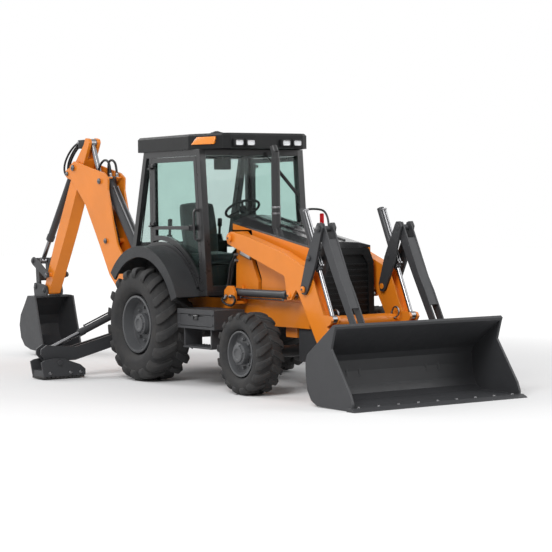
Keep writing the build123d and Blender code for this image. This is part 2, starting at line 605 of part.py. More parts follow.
# Hoe
def hoe():
    """Swing post, boom, dipper, bucket, links and cylinders."""
    nodes = {}
    cheek = [(SWING_X - 20, 480), (BOOM_FOOT[0], 530), (BOOM_FOOT[0] - 95, 590), (BOOM_FOOT[0] - 95, 700),
             (BOOM_ROD[0] - 90, 960), (BOOM_ROD[0] - 75, 1110), (BOOM_ROD[0] - 20, 1140),
             (BOOM_ROD[0] + 25, 1110),
             (SWING_X - 95, 860), (SWING_X, 850)]
    tower = bar((SWING_X, 0, 465), (SWING_X, 0, 880), 120)
    for side in SIDES:
        tower += plate(cheek, *sorted((side * 142, side * 178)))
    tower += block((SWING_X - 125, SWING_X - 60), (-170, 170), (490, 850))
    tower -= bar((SWING_X, 0, 460), (SWING_X, 0, 890), 45 + GAP)
    tower += pin(BOOM_FOOT, -185, 185, 40)
    nodes["swing_tower"] = tower

    half, skin = BOOM_W / 2, 25
    outline = [(-1465, 690), (-1880, 1348), (-2030, 1507), (-2149, 1819), (-2266, 2196), (-2255, 2350),
               (-2363, 2412),
               (-3174, 2585), (-3285, 2530), (-3300, 2440), (-3238, 2342), (-2862, 2014), (-2500, 1503),
               (-2251, 1128),
               (-2074, 982), (-1640, 575), (-1560, 540), (-1480, 590)]
    boom = Part()
    for side in SIDES:
        boom += plate(outline, *sorted((side * (half - skin), side * half)), radius=30)
    boom += plate([(-2800, 1935), (-2500, 1510), (-2251, 1135), (-2074, 989), (-1680, 620), (-1665, 638),
                   (-2058, 1008),
                   (-2233, 1150), (-2481, 1522), (-2782, 1948)], -half + skin, half - skin)
    boom += pin(BOOM_FOOT, -half, half, 100)
    boom -= pin(BOOM_FOOT, -half - 1, half + 1, 40 + GAP)
    boom += pin(BOOM_HEAD, -half - 14, half + 14, 34)
    boom += pin(DIPPER_PIVOT, -half - 14, half + 14, 36)
    boom += pin(DIPPER_BASE, -half - 14, half + 14, 30)
    nodes["boom"] = boom

    half = DIPPER_W / 2
    outline = [(-2840, 2860), (-2920, 2880), (-2975, 2790), (-3230, 2560), (-3310, 2400), (-3763, 1664),
               (-4048, 1153),
               (-4160, 930), (-4160, 860), (-4110, 819), (-4050, 835), (-3945, 990), (-3742, 1290),
               (-3486, 1690),
               (-3190, 2200), (-3060, 2430), (-2850, 2760), (-2820, 2815)]
    dipper = plate(outline, -half, half, radius=26)
    dipper -= pin(DIPPER_PIVOT, -half - 1, half + 1, 36 + GAP)
    dipper -= plate([(-2700, 2700), (-2700, 2950), (-3000, 2950), (-3000, 2790), (-2990, 2620),
                     (-2900, 2560)], -42, 42)
    dipper -= pin(HOE_HINGE, -half - 1, half + 1, 32 + GAP)
    dipper += pin(GUIDE_PIN, -GUIDE_OUT - 5, GUIDE_OUT + 5, 28)
    for side in SIDES:
        dipper += plate([(-3240, 2530), (-3420, 2500), (-3500, 2470), (-3505, 2400), (-3460, 2370),
                         (-3310, 2340)],
                        *sorted((side * 54, side * 80)))
    dipper += pin(CURL_BASE, -86, 86, 24)
    nodes["dipper"] = dipper

    half = HOE_W / 2
    outer = [(-4132, 802), (-4270, 806), (-4370, 680), (-4490, 540), (-4530, 400), (-4490, 230), (-4380, 125),
             (-4200, 80), (-3840, 62), (-3780, 62)]
    inner = [(-3780, 84), (-3840, 90), (-4195, 108), (-4362, 148), (-4463, 243), (-4500, 400), (-4463, 528),
             (-4350, 660), (-4258, 780), (-4132, 778)]
    tub = plate(outer + inner, -half, half)
    cheeks = outer[:-1] + [(-3835, 90), (-3900, 300), (-3960, 480), (-4055, 795)]
    for side in SIDES:
        tub += plate(cheeks, *sorted((side * (half - 22), side * half)))
    for k in range(5):
        y = (k - 2) * (HOE_W - 80) / 4
        tub += plate([(-3860, 55), (-3860, 95), (-3780, 95), (-3708, 50), (-3716, 42)], y - 32, y + 32)
    lug = [(-4060, 785), (-4035, 860), (-4060, 935), (-4120, 950), (-4330, 975), (-4400, 970), (-4425, 910),
           (-4385, 690), (-4300, 765), (-4130, 785)]
    for side in SIDES:
        tub += plate(lug, *sorted((side * 98, side * 125)))
    tub += pin(HOE_HINGE, -126, 126, 32)
    nodes["hoe_bucket"] = tub

    guide = Part()
    for side in SIDES:
        guide += plate([(-3935, 1060), (-3935, 1115), (-3985, 1135), (-4180, 1245), (-4370, 1325),
                        (-4425, 1300),
                        (-4430, 1245), (-4390, 1215), (-4200, 1130), (-4020, 1040)],
                        *sorted((side * GUIDE_IN, side * GUIDE_OUT)),
                       radius=12)
    guide -= pin(GUIDE_PIN, -GUIDE_OUT - 10, GUIDE_OUT + 10, 28 + GAP)
    for side in SIDES:
        guide += pin(GUIDE_END, *sorted((side * 55, side * (GUIDE_OUT + 3))), 27)
    nodes["guide_link"] = guide
    link = Part()
    for side in SIDES:
        link += plate([(-4345, 1310), (-4415, 1310), (-4425, 1240), (-4405, 930), (-4385, 880), (-4335, 880),
                       (-4310, 930),
                       (-4330, 1230)], *sorted((side * 60, side * 90)), radius=12)
    link += block((-4395, -4335), (-62, 62), (1000, 1120))
    link -= pin(GUIDE_END, -100, 100, 27 + GAP)
    nodes["bucket_link"] = link

    rams = {
        "boom": (BOOM_HEAD, BOOM_ROD, (72, 38, 62, 150), 1400),
        "dipper": (DIPPER_BASE, DIPPER_TOP, (60, 33, 52, 78), 930),
        "curl": (CURL_BASE, GUIDE_END, (48, 29, 44, 100), 1190),
    }
    for name, (base, eye, sizes, reach) in rams.items():
        barrel, rod = cylinder_pair(base, eye, 0, sizes, reach, side_space)
        nodes[f"{name}_barrel"] = barrel
        nodes[f"{name}_rod"] = rod
    nodes["boom_barrel"] -= pin(BOOM_HEAD, -90, 90, 34 + GAP)
    nodes["dipper_barrel"] -= pin(DIPPER_BASE, -90, 90, 30 + GAP)
    nodes["curl_barrel"] -= pin(CURL_BASE, -90, 90, 24 + GAP)
    for side in SIDES:
        nodes["curl_rod"] -= block((-4600, -4200), sorted((side * 36, side * 60)), (1150, 1400))
    return nodes


def stabilisers():
    """Two folding legs with their street pads and cylinders."""
    outline = [(355, 470), (350, 570), (420, 612), (500, 590), (810, 492), (1350, 360), (1640, 385),
               (1715, 398),
               (1790, 350), (1795, 290), (1720, 206), (1350, 206), (810, 345), (480, 455)]
    leg = end_plate(outline, LEG_X - LEG_W / 2, LEG_X + LEG_W / 2, radius=18)
    leg -= bar((LEG_X - 80, *LEG_PIVOT), (LEG_X + 80, *LEG_PIVOT), 32 + GAP)
    leg -= end_plate([(560, 700), (560, 475), (810, 388), (1350, 252), (1420, 228), (1900, 226), (1900, 700)],
                     LEG_X - 48, LEG_X + 48)
    pad = [(1265, 35), (1265, 105), (1330, 160), (1540, 235), (1660, 245), (1790, 225), (1830, 205),
           (1800, 35)]
    leg += end_plate(pad, LEG_X - 150, LEG_X - 128) + end_plate(pad, LEG_X + 128, LEG_X + 150)
    leg += end_plate([(1265, 35), (1265, 105), (1800, 105), (1800, 35)], LEG_X - 150, LEG_X + 150)
    leg += bar((LEG_X - 165, 1595, 190), (LEG_X + 165, 1595, 190), 30)
    leg += end_plate([(1540, 195), (1540, 226), (1650, 226), (1650, 195)], LEG_X - 60, LEG_X + 60)
    barrel, rod = cylinder_pair(LEG_RAM_TOP, LEG_RAM_EYE, LEG_X, (40, 26, 40, 66), 1000, leg_space)
    barrel -= bar((LEG_X - 80, *LEG_RAM_TOP), (LEG_X + 80, *LEG_RAM_TOP), 32 + GAP)
    nodes = {}
    for side, name in zip(SIDES, ("left", "right")):
        nodes[f"stabiliser_leg_{name}"] = on_side(leg, side)
        nodes[f"stabiliser_barrel_{name}"] = on_side(barrel, side)
        nodes[f"stabiliser_rod_{name}"] = on_side(rod, side)
    return nodes


def machine():
    """Every piece by name, with the whole machine centred over the origin."""
    nodes = {}
    for build in (wheels, axles, chassis, rear_frame, steps, fenders, cab, hood, loader, hoe, stabilisers):
        nodes.update(build())
    boxes = [shape.bounding_box() for shape in nodes.values()]
    shift = -(min(b.min.X for b in boxes) + max(b.max.X for b in boxes)) / 2
    return {name: Pos(shift, 0, 0) * shape for name, shape in nodes.items()}, shift


def main():
    os.makedirs("parts", exist_ok=True)
    nodes, shift = machine()
    for name, shape in nodes.items():
        export_step(shape, f"parts/{name}.step")
    print(len(nodes), "pieces, shifted", round(shift, 2))


if __name__ == "__main__":
    main()
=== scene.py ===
"""Finishes, tyres, lamps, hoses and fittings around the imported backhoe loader, with its studio."""
import json
import math

import bmesh
import bpy
from bpy.props import FloatProperty, FloatVectorProperty, IntProperty, PointerProperty
from mathutils import Matrix, Vector


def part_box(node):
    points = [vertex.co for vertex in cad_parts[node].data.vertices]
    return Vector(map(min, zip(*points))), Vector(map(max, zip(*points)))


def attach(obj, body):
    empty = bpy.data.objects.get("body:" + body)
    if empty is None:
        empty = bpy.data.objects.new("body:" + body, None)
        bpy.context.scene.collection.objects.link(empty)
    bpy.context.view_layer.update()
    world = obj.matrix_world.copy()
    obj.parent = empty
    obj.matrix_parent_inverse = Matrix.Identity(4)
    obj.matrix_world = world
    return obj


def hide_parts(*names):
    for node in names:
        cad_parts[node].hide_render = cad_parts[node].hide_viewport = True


bl_info = {
    "name": "Backhoe Loader Looks",
    "version": (1, 0, 0),
    "blender": (4, 5, 0),
    "location": "3D View > Sidebar > Backhoe",
    "description": "Finishes and fittings around the packed backhoe loader",
    "category": "Object",
}

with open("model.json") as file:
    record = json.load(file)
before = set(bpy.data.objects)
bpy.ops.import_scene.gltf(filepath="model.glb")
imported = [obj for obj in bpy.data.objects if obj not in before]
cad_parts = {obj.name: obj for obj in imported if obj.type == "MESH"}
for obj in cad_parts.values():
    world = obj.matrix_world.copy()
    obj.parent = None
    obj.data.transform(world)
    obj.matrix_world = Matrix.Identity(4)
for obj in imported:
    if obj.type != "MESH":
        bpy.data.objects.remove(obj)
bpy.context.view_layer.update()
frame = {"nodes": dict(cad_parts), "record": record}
RECORD = frame["record"]
PIVOT = {joint["name"]: Vector(joint["pos_m"]) for joint in RECORD["behaviour"]["joints"] if "pos_m" in joint}
NODE_SLOT = {part["node"]: part["material_slot"] for part in RECORD["subparts"]}
AXLE_X = PIVOT["rear_wheel_left_spin"].x
SIDES = {"left": 1, "right": -1}
RAMS = {
    "lift": ((1.300, 1.030), (2.420, 1.030)), "tilt": ((3.120, 0.809), (2.834, 1.423)),
    "boom": ((-2.460, 2.313), (-1.400, 1.060)), "dipper": ((-2.315, 1.555), (-2.893, 2.815)),
    "curl": ((-3.450, 2.430), (-4.380, 1.270)),
}
FINISH = {}


def spot(x, y, z):
    """A point given from the rear axle's ground point, in the row's frame."""
    return Vector((AXLE_X + x, y, z))


def colour_prop(name, description, default):
    """A colour setting with the colour subtype."""
    return FloatVectorProperty(name=name, description=description, subtype="COLOR", size=3,
                               min=0.0, max=1.0, default=default)


def length_prop(name, description, default):
    """A length in metres."""
    return FloatProperty(name=name, description=description, subtype="DISTANCE", unit="LENGTH",
                         min=0.0, default=default)


class PaintSettings(bpy.types.PropertyGroup):
    """Colours of the machine's finishes."""
    body: colour_prop("Body paint", "Orange of the arms, hood and boom", (0.74, 0.215, 0.014))
    charcoal: colour_prop("Charcoal paint", "Dark grey of buckets and links", (0.040, 0.041, 0.044))
    black: colour_prop("Black paint", "Axles and rails, and in shades the cab frame and hood", (0.018, 0.018, 0.019))
    rim: colour_prop("Rim paint", "Dark grey of the wheel rims", (0.078, 0.080, 0.084))
    rubber: colour_prop("Tyre rubber", "Dark grey of the tyres", (0.028, 0.028, 0.029))
    glass: colour_prop("Glass tint", "Green tint of the cab's glass", (0.69, 0.785, 0.765))
    door_glass: colour_prop("Door glass tint", "Green tint of the doors' glass", (0.555, 0.735, 0.685))
    amber: colour_prop("Amber lens", "Marker lamps", (0.95, 0.28, 0.01))
    red: colour_prop("Red plastic", "The lock's handle", (0.55, 0.01, 0.015))


class FittingSettings(bpy.types.PropertyGroup):
    """Sizes of the fittings that the machine carries."""
    rear_lugs: IntProperty(name="Rear lugs", description="Tread bars on one side of a rear tyre", default=18, min=8)
    front_lugs: IntProperty(name="Front lugs", description="Tread bars on one side of a front tyre", default=17, min=8)
    hose: length_prop("Hose thickness", "Outside diameter of a hydraulic hose", 0.030)
    pipe: length_prop("Pipe thickness", "Outside diameter of a steel hydraulic pipe", 0.018)
    bolt: length_prop("Bolt width", "Width of a bolt head across its corners", 0.034)


class StageSettings(bpy.types.PropertyGroup):
    """Camera and floor."""
    eye: FloatVectorProperty(name="Camera place", description="From the rear axle's ground point",
                             subtype="TRANSLATION", size=3, default=(18.036, -11.1397, 1.9267))
    yaw: FloatProperty(name="Yaw", description="Camera's turn about the vertical", subtype="ANGLE",
                       default=math.radians(56.2866))
    pitch: FloatProperty(name="Pitch", description="Camera's tilt down", subtype="ANGLE", default=math.radians(2.1004))
    roll: FloatProperty(name="Roll", description="Camera's lean", subtype="ANGLE", default=math.radians(-0.7812))
    lens: FloatProperty(name="Lens", description="Focal length in millimetres", default=118.8)
    floor: colour_prop("Floor", "Pale studio floor", (0.74, 0.74, 0.745))


class Value:
    """A number at a socket of a finish; arithmetic on it adds Math nodes."""

    def __init__(self, finish, socket):
        self.finish = finish
        self.socket = socket

    def math(self, operation, first, second=0.0):
        return self.finish.node("ShaderNodeMath", {"operation": operation}, {0: first, 1: second})

    def __add__(self, other):
        return self.math("ADD", self, other)

    def __sub__(self, other):
        return self.math("SUBTRACT", self, other)

    def __rsub__(self, other):
        return self.math("SUBTRACT", other, self)

    def __mul__(self, other):
        return self.math("MULTIPLY", self, other)

    def __truediv__(self, other):
        return self.math("DIVIDE", self, other)

    __radd__ = __add__
    __rmul__ = __mul__


class Finish:
    """A material under construction, whose shader is one Principled BSDF."""

    def __init__(self, name, **fixed):
        self.material = bpy.data.materials.new(name)
        self.material.use_nodes = True
        self.tree = self.material.node_tree
        self.shader = self.tree.nodes["Principled BSDF"]
        self.set(**fixed)
        FINISH[name] = self.material

    def set(self, **sockets):
        """Gives shader sockets, named with _ for a space, a number, a colour or a Value."""
        for name, value in sockets.items():
            self.feed(self.shader.inputs[name.replace("_", " ")], value)

    def feed(self, socket, value):
        if isinstance(value, Value):
            self.tree.links.new(value.socket, socket)
        elif socket.type == "RGBA" and len(value) == 3:
            socket.default_value = (*value, 1.0)
        else:
            socket.default_value = value

    def node(self, kind, settings=None, inputs=None, output=0):
        """Adds a node with its settings, then its socket values, and gives one of its outputs."""
        made = self.tree.nodes.new(kind)
        for name, value in (settings or {}).items():
            setattr(made, name, value)
        for name, value in (inputs or {}).items():
            self.feed(made.inputs[name], value)
        return Value(self, made.outputs[output])

    def place(self):
        return self.node("ShaderNodeTexCoord", output="Object")

    def noise(self, scale, detail=3.0, rough=0.55):
        return self.node("ShaderNodeTexNoise", None,
                         {"Vector": self.place(), "Scale": scale, "Detail": detail, "Roughness": rough})

    def ramp(self, value, low, high):
        """0 below low, 1 above high."""
        return self.node("ShaderNodeMapRange", {"clamp": True}, {0: value, 1: low, 2: high, 3: 0.0, 4: 1.0})

    def mix(self, factor, first, second):
        """A colour between two."""
        return self.node("ShaderNodeMix", {"data_type": "RGBA"}, {0: factor, 6: first, 7: second}, output=2)

    def edges(self, radius):
        """1 along sharp edges, 0 on flat faces, with the rounded normal."""
        rounded = self.node("ShaderNodeBevel", {"samples": 4}, {"Radius": radius})
        plain = self.node("ShaderNodeNewGeometry", output="Normal")
        same = self.node("ShaderNodeVectorMath", {"operation": "DOT_PRODUCT"}, {0: rounded, 1: plain}, output="Value")
        return self.ramp(1.0 - same, 0.015, 0.16), rounded

    def bump(self, height, distance, normal=None):
        inputs = {"Height": height, "Distance": distance, "Strength": 1.0}
        if normal:
            inputs["Normal"] = normal
        return self.node("ShaderNodeBump", None, inputs)


def shade(colour, factor):
    """A colour made lighter or darker."""
    return tuple(min(1.0, part * factor) for part in colour)


def painted(name, colour, rough, coat, wear, edge_light):
    """Sprayed paint: slow shifts of tone, a fine peel, and edges painted toward a lighter colour, partly as wear and
    partly as a painted highlight.
    """
    finish = Finish(name, Coat_Weight=coat, Coat_Roughness=0.12, Specular_IOR_Level=0.3)
    edge, rounded = finish.edges(0.008)
    cloud = finish.noise(1.7, 4.0)
    film = finish.noise(9.0, 5.0, 0.65)
    tone = finish.mix(finish.ramp(cloud, 0.3, 0.7), shade(colour, 0.93), shade(colour, 1.06))
    # Patchy mask along sharp edges: partly edge wear, partly a painted highlight.
    edge_wear_and_highlight = edge * finish.ramp(film, 0.35, 0.75) * wear
    # The base colour is mixed toward the edge colour along that mask, a painted edge highlight as well as wear.
    finish.set(Base_Color=finish.mix(edge_wear_and_highlight, tone, edge_light))
    finish.set(Roughness=finish.ramp(film, 0.2, 0.8) * 0.14 + (rough - 0.07) + edge_wear_and_highlight * 0.1)
    peel = finish.noise(170.0, 2.0)
    finish.set(Normal=finish.bump(peel, 0.0006, rounded))


def metal(name, colour, rough):
    """Bare or plated metal with faint turning marks."""
    finish = Finish(name, Metallic=1.0)
    edge, rounded = finish.edges(0.003)
    film = finish.ramp(finish.noise(9.0, 5.0), 0.35, 0.75)
    finish.set(Base_Color=finish.mix(film, colour, shade(colour, 0.72)))
    finish.set(Roughness=finish.ramp(finish.noise(35.0, 4.0), 0.3, 0.8) * 0.12 + rough + edge * 0.05)
    finish.set(Normal=finish.bump(finish.noise(240.0, 2.0), 0.0001, rounded))


def rubber(name, colour):
    """Tyre rubber, paler in a thin film of dust, and paler along sharp edges, as scuffing and as a painted highlight.
    """
    finish = Finish(name, Specular_IOR_Level=0.25)
    edge, rounded = finish.edges(0.012)
    dust = finish.ramp(finish.noise(6.0, 6.0, 0.7), 0.42, 0.78)
    tone = finish.mix(dust * 0.45, colour, (0.085, 0.080, 0.074))
    # Sharp edges are mixed toward a pale grey: scuffing and a painted highlight.
    finish.set(Base_Color=finish.mix(edge * 0.5, tone, (0.090, 0.089, 0.088)))
    finish.set(Roughness=0.72 + dust * 0.2)
    grain = finish.noise(95.0, 3.0)
    finish.set(Normal=finish.bump(grain, 0.0015, rounded))


def moulded(name, colour, rough, grain=260.0):
    """Moulded plastic with a leather-like grain."""
    finish = Finish(name, Specular_IOR_Level=0.2)
    edge, rounded = finish.edges(0.004)
    cloud = finish.noise(3.0, 3.0)
    finish.set(Base_Color=finish.mix(finish.ramp(cloud, 0.3, 0.7), shade(colour, 0.88), shade(colour, 1.1)))
    finish.set(Roughness=finish.ramp(finish.noise(14.0), 0.3, 0.8) * 0.12 + rough + edge * -0.05)
    cells = finish.node("ShaderNodeTexVoronoi", None, {"Vector": finish.place(), "Scale": grain})
    finish.set(Normal=finish.bump(cells, 0.0008, rounded))


def woven(name, colour):
    """Seat cloth with crossing threads."""
    finish = Finish(name, Sheen_Weight=0.35)
    place = finish.place()
    threads = [finish.node("ShaderNodeTexWave", {"bands_direction": way}, {"Vector": place, "Scale": 95.0})
               for way in ("X", "Y", "Z")]
    weave = (threads[0] + threads[1] + threads[2]) / 3.0
    cloud = finish.ramp(finish.noise(5.0, 4.0), 0.3, 0.7)
    finish.set(Base_Color=finish.mix(weave * 0.5 + cloud * 0.4, shade(colour, 0.6), shade(colour, 1.6)))
    finish.set(Roughness=0.82 + weave * 0.12)
    finish.set(Normal=finish.bump(weave, 0.002))


def glazed(name, tint):
    """Tinted cab glass with a trace of dust."""
    finish = Finish(name, Transmission_Weight=1.0, IOR=1.18)
    film = finish.ramp(finish.noise(4.0, 5.0), 0.4, 0.8)
    finish.set(Base_Color=finish.mix(film * 0.35, tint, shade(tint, 0.9)), Roughness=film * 0.02)


def lens(name, colour, ribs):
    """A clear or tinted lamp lens with moulded ribs."""
    finish = Finish(name, Coat_Weight=0.8, Coat_Roughness=0.03)
    rib = finish.node("ShaderNodeTexWave", {"bands_direction": "Z", "wave_profile": "SIN"},
                      {"Vector": finish.place(), "Scale": ribs})
    finish.set(Base_Color=finish.mix(rib * 0.5, colour, shade(colour, 0.72)))
    finish.set(Roughness=0.08 + rib * 0.1, Normal=finish.bump(rib, 0.002))


class BACKHOE_OT_finishes(bpy.types.Operator):
    """Makes the materials and puts them on the solids"""
    bl_idname = "backhoe.finishes"
    bl_label = "Finishes"

    def execute(self, context):
        paint = context.scene.backhoe_paint
        # The last colour of each paint is painted along its sharp edges, as edge wear and as a painted highlight.
        painted("orange_paint", tuple(paint.body), 0.36, 0.22, 0.30, (0.86, 0.40, 0.09))
        painted("charcoal_paint", tuple(paint.charcoal), 0.48, 0.06, 0.6, (0.12, 0.12, 0.125))
        painted("black_paint", tuple(paint.black), 0.34, 0.30, 0.55, (0.085, 0.085, 0.09))
        painted("post_paint", shade(paint.black, 1.15), 0.30, 0.25, 0.5, (0.085, 0.085, 0.09))
        painted("rim_paint", tuple(paint.rim), 0.40, 0.15, 0.7, (0.19, 0.19, 0.195))
        painted("hood_black", shade(paint.black, 1.5), 0.24, 0.55, 0.4, (0.12, 0.12, 0.125))
        metal("chrome", (0.27, 0.27, 0.28), 0.20)
        metal("steel", (0.25, 0.25, 0.257), 0.32)
        metal("dark_steel", (0.17, 0.17, 0.175), 0.38)
        metal("cast_iron", (0.14, 0.14, 0.145), 0.55)
        rubber("tyre_rubber", tuple(paint.rubber))
        moulded("trim_plastic", (0.020, 0.020, 0.021), 0.48)
        moulded("roof_plastic", (0.009, 0.0095, 0.010), 0.34)
        moulded("fender_plastic", (0.036, 0.037, 0.039), 0.40)
        moulded("hose_rubber", (0.016, 0.016, 0.017), 0.42, 180.0)
        moulded("red_plastic", tuple(paint.red), 0.30)
        woven("seat_cloth", (0.040, 0.042, 0.046))
        glazed("cab_glass", tuple(paint.glass))
        glazed("door_glass", tuple(paint.door_glass))
        lens("clear_lens", (0.82, 0.84, 0.86), 30.0)
        lens("amber_lens", tuple(paint.amber), 24.0)
        by_slot = {
            "orange_paint": "orange_paint", "dark_grey_paint": "charcoal_paint", "black_paint": "black_paint",
            "chrome_rod": "chrome", "tyre_rubber": "tyre_rubber", "rim_grey": "rim_paint", "tinted_glass": "cab_glass",
            "seat_fabric": "seat_cloth", "control_plastic": "trim_plastic", "lamp_lens": "clear_lens",
            "engine_iron": "cast_iron",
        }
        special = {"hood_top": "hood_black", "grille": "roof_plastic", "cab_roof": "roof_plastic",
                   "fenders": "fender_plastic", "cab_frame": "post_paint", "door_left": "post_paint",
                   "door_right": "post_paint", "door_glass_left": "door_glass", "door_glass_right": "door_glass"}
        for name, node in frame["nodes"].items():
            node.data.materials.clear()
            node.data.materials.append(FINISH[special.get(name, by_slot[NODE_SLOT[name]])])
        return {"FINISHED"}


def deselect():
    bpy.ops.object.select_all(action="DESELECT")


def choose(piece):
    """Selects one piece alone and makes it active."""
    deselect()
    piece.select_set(True)
    bpy.context.view_layer.objects.active = piece


def apply_place(piece):
    """Puts a piece's place, turn and size into its mesh."""
    choose(piece)
    bpy.ops.object.transform_apply(location=True, rotation=True, scale=True)
    return piece


def box(low, high, round_by=0.0, segments=2):
    """A block between two corners with rounded edges."""
    deselect()
    low, high = Vector(low), Vector(high)
    bpy.ops.mesh.primitive_cube_add(size=1.0, location=(low + high) / 2)
    piece = bpy.context.object
    piece.scale = high - low
    apply_place(piece)
    if round_by:
        bevel(piece, round_by, segments)
    return piece


def drum(start, end, radius, sides=32, round_by=0.0):
    """A round or many-sided bar from one point to another."""
    deselect()
    start, end = Vector(start), Vector(end)
    along = end - start
    bpy.ops.mesh.primitive_cylinder_add(vertices=sides, radius=radius, depth=along.length)
    piece = bpy.context.object
    turn = Vector((0, 0, 1)).rotation_difference(along)
    piece.matrix_world = Matrix.Translation((start + end) / 2) @ turn.to_matrix().to_4x4()
    apply_place(piece)
    if round_by:
        bevel(piece, round_by, 2)
    return piece


def edit(piece, test=None):
    """Opens a piece in edit mode with the faces that pass a test selected."""
    choose(piece)
    bpy.ops.object.mode_set(mode="EDIT")
    bpy.ops.mesh.select_mode(type="FACE")
    bpy.ops.mesh.select_all(action="SELECT" if test is None else "DESELECT")
    if test:
        mesh = bmesh.from_edit_mesh(piece.data)
        for face in mesh.faces:
            face.select_set(bool(test(face.calc_center_median(), face.normal)))
        bmesh.update_edit_mesh(piece.data)


def leave():
    bpy.ops.object.mode_set(mode="OBJECT")


def bevel(piece, width, segments=2, angle=30.0):
    """Rounds a piece's sharp edges."""
    modifier = piece.modifiers.new("rounded", "BEVEL")
    modifier.width = width
    modifier.segments = segments
    modifier.limit_method = "ANGLE"
    modifier.angle_limit = math.radians(angle)
    bpy.context.view_layer.objects.active = piece
    bpy.ops.object.modifier_apply(modifier=modifier.name)


def step_in(margin, shift):
    """Insets the selected faces and pushes them along a vector."""
    bpy.ops.mesh.inset(thickness=margin, depth=0.0)
    bpy.ops.mesh.extrude_region_move(TRANSFORM_OT_translate={"value": shift})


def recess(piece, finishes, towards, margin, depth):
    """Gives a piece its finishes and sets in the faces that look one way, in the last of them."""
    for finish in finishes:
        piece.data.materials.append(FINISH[finish])
    edit(piece, lambda centre, normal: normal.dot(towards) > 0.9)
    step_in(margin, towards * -depth)
    piece.active_material_index = len(finishes) - 1
    bpy.ops.object.material_slot_assign()
    leave()


def moved(piece, matrix):
    """A copy of a piece, with its own mesh, somewhere else."""
    twin = piece.copy()
    twin.data = piece.data.copy()
    twin.data.transform(matrix)
    bpy.context.collection.objects.link(twin)
    return twin


def joined(pieces):
    """Several meshes as one piece."""
    deselect()
    for piece in pieces:
        piece.select_set(True)
    bpy.context.view_layer.objects.active = pieces[0]
    if len(pieces) > 1:
        bpy.ops.object.join()
    return bpy.context.object


def outward(piece):
    """Merges doubles and turns the faces outwards."""
    edit(piece)
    bpy.ops.mesh.remove_doubles(threshold=0.00001)
    bpy.ops.mesh.normals_make_consistent(inside=False)
    leave()


def settle(piece, name, body, finish=None, stands_for=(), angle=35.0):
    """Names a finished piece and sets its finish, its body and what it stands for."""
    piece.name = name
    piece.data.name = name
    if finish:
        piece.data.materials.clear()
        piece.data.materials.append(FINISH[finish])
    choose(piece)
    bpy.ops.object.shade_smooth_by_angle(angle=math.radians(angle))
    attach(piece, body)
    if stands_for:
        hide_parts(*stands_for)
    return piece


def dressed(piece, finish):
    """Gives a loose piece its finish before it is joined to others."""
    piece.data.materials.clear()
    piece.data.materials.append(FINISH[finish])
    return piece


def domed(piece, towards, steps):
    """Steps the faces that look one way in and out, ring by ring."""
    edit(piece, lambda centre, normal: normal.dot(Vector(towards)) > 0.9)
    for margin, rise in steps:
        bpy.ops.mesh.inset(thickness=margin, depth=rise)
    leave()
    return piece


def beside(ram, distance, out, y):
    """A point by a cylinder, some way along it and set off to its upper side."""
    start, end = (Vector(point) for point in RAMS[ram])
    way = (end - start).normalized()
    side = Vector((-way.y, way.x))
    if side.y < 0:
        side.negate()
    place = start + way * distance + side * out
    return spot(place.x, y, place.y)


def about_y(angle):
    return Matrix.Rotation(angle, 4, "Y")


def turn_about(centre, angle):
    """A turn about the line along Y through a point."""
    return Matrix.Translation(centre) @ about_y(angle) @ Matrix.Translation(-centre)


def casing_point(angle, half, rim_r, depth):
    """Where the tyre's casing lies at an angle round its section: across the wheel, and out from the axle."""
    c, s = math.cos(angle), math.sin(angle)
    up = math.copysign(abs(s) ** 0.66, s)
    tuck = 0.14 * half * max(0.0, -up - 0.3)
    return math.copysign(abs(c) ** 0.50, c) * (half * 0.955 - tuck), rim_r + 0.0005 + depth * (up + 1) / 2


def tread_bar(radius, half, rim_r, depth, lug, wide, slant):
    """One tread bar that runs from the middle over the shoulder, seated on the casing."""
    stations = [(89.9, 1.0), (84, 1.0), (72, 1.1), (58, 1.25), (45, 1.35), (32, 1.05), (21, 0.55), (14, 0.12)]
    deselect()
    bpy.ops.mesh.primitive_cube_add(size=1.0)
    bar = bpy.context.object
    edit(bar, lambda centre, normal: normal.y > 0.9)
    for step in range(len(stations) - 2):
        bpy.ops.mesh.extrude_region_move(TRANSFORM_OT_translate={"value": (0, 1, 0)})
    leave()
    for vertex in bar.data.vertices:
        angle, tall = stations[round(vertex.co.y + 0.5)]
        here = Vector(casing_point(math.radians(angle), half, rim_r, depth))
        ahead = Vector(casing_point(math.radians(angle - 0.05), half, rim_r, depth))
        run = (ahead - here).normalized()
        outer = vertex.co.z > 0
        place = here + Vector((-run.y, run.x)) * (lug * tall if outer else -0.010)
        across, reach = min(place.x, half), min(place.y, radius)
        grow = (1.0 + 0.35 * across / half) * (1.0 if outer else 1.30)
        turn = (vertex.co.x * wide * grow + across * slant) / radius
        vertex.co = (reach * math.sin(turn), across, reach * math.cos(turn))
    bevel(bar, 0.006, 1, 25.0)
    outward(bar)
    return bar


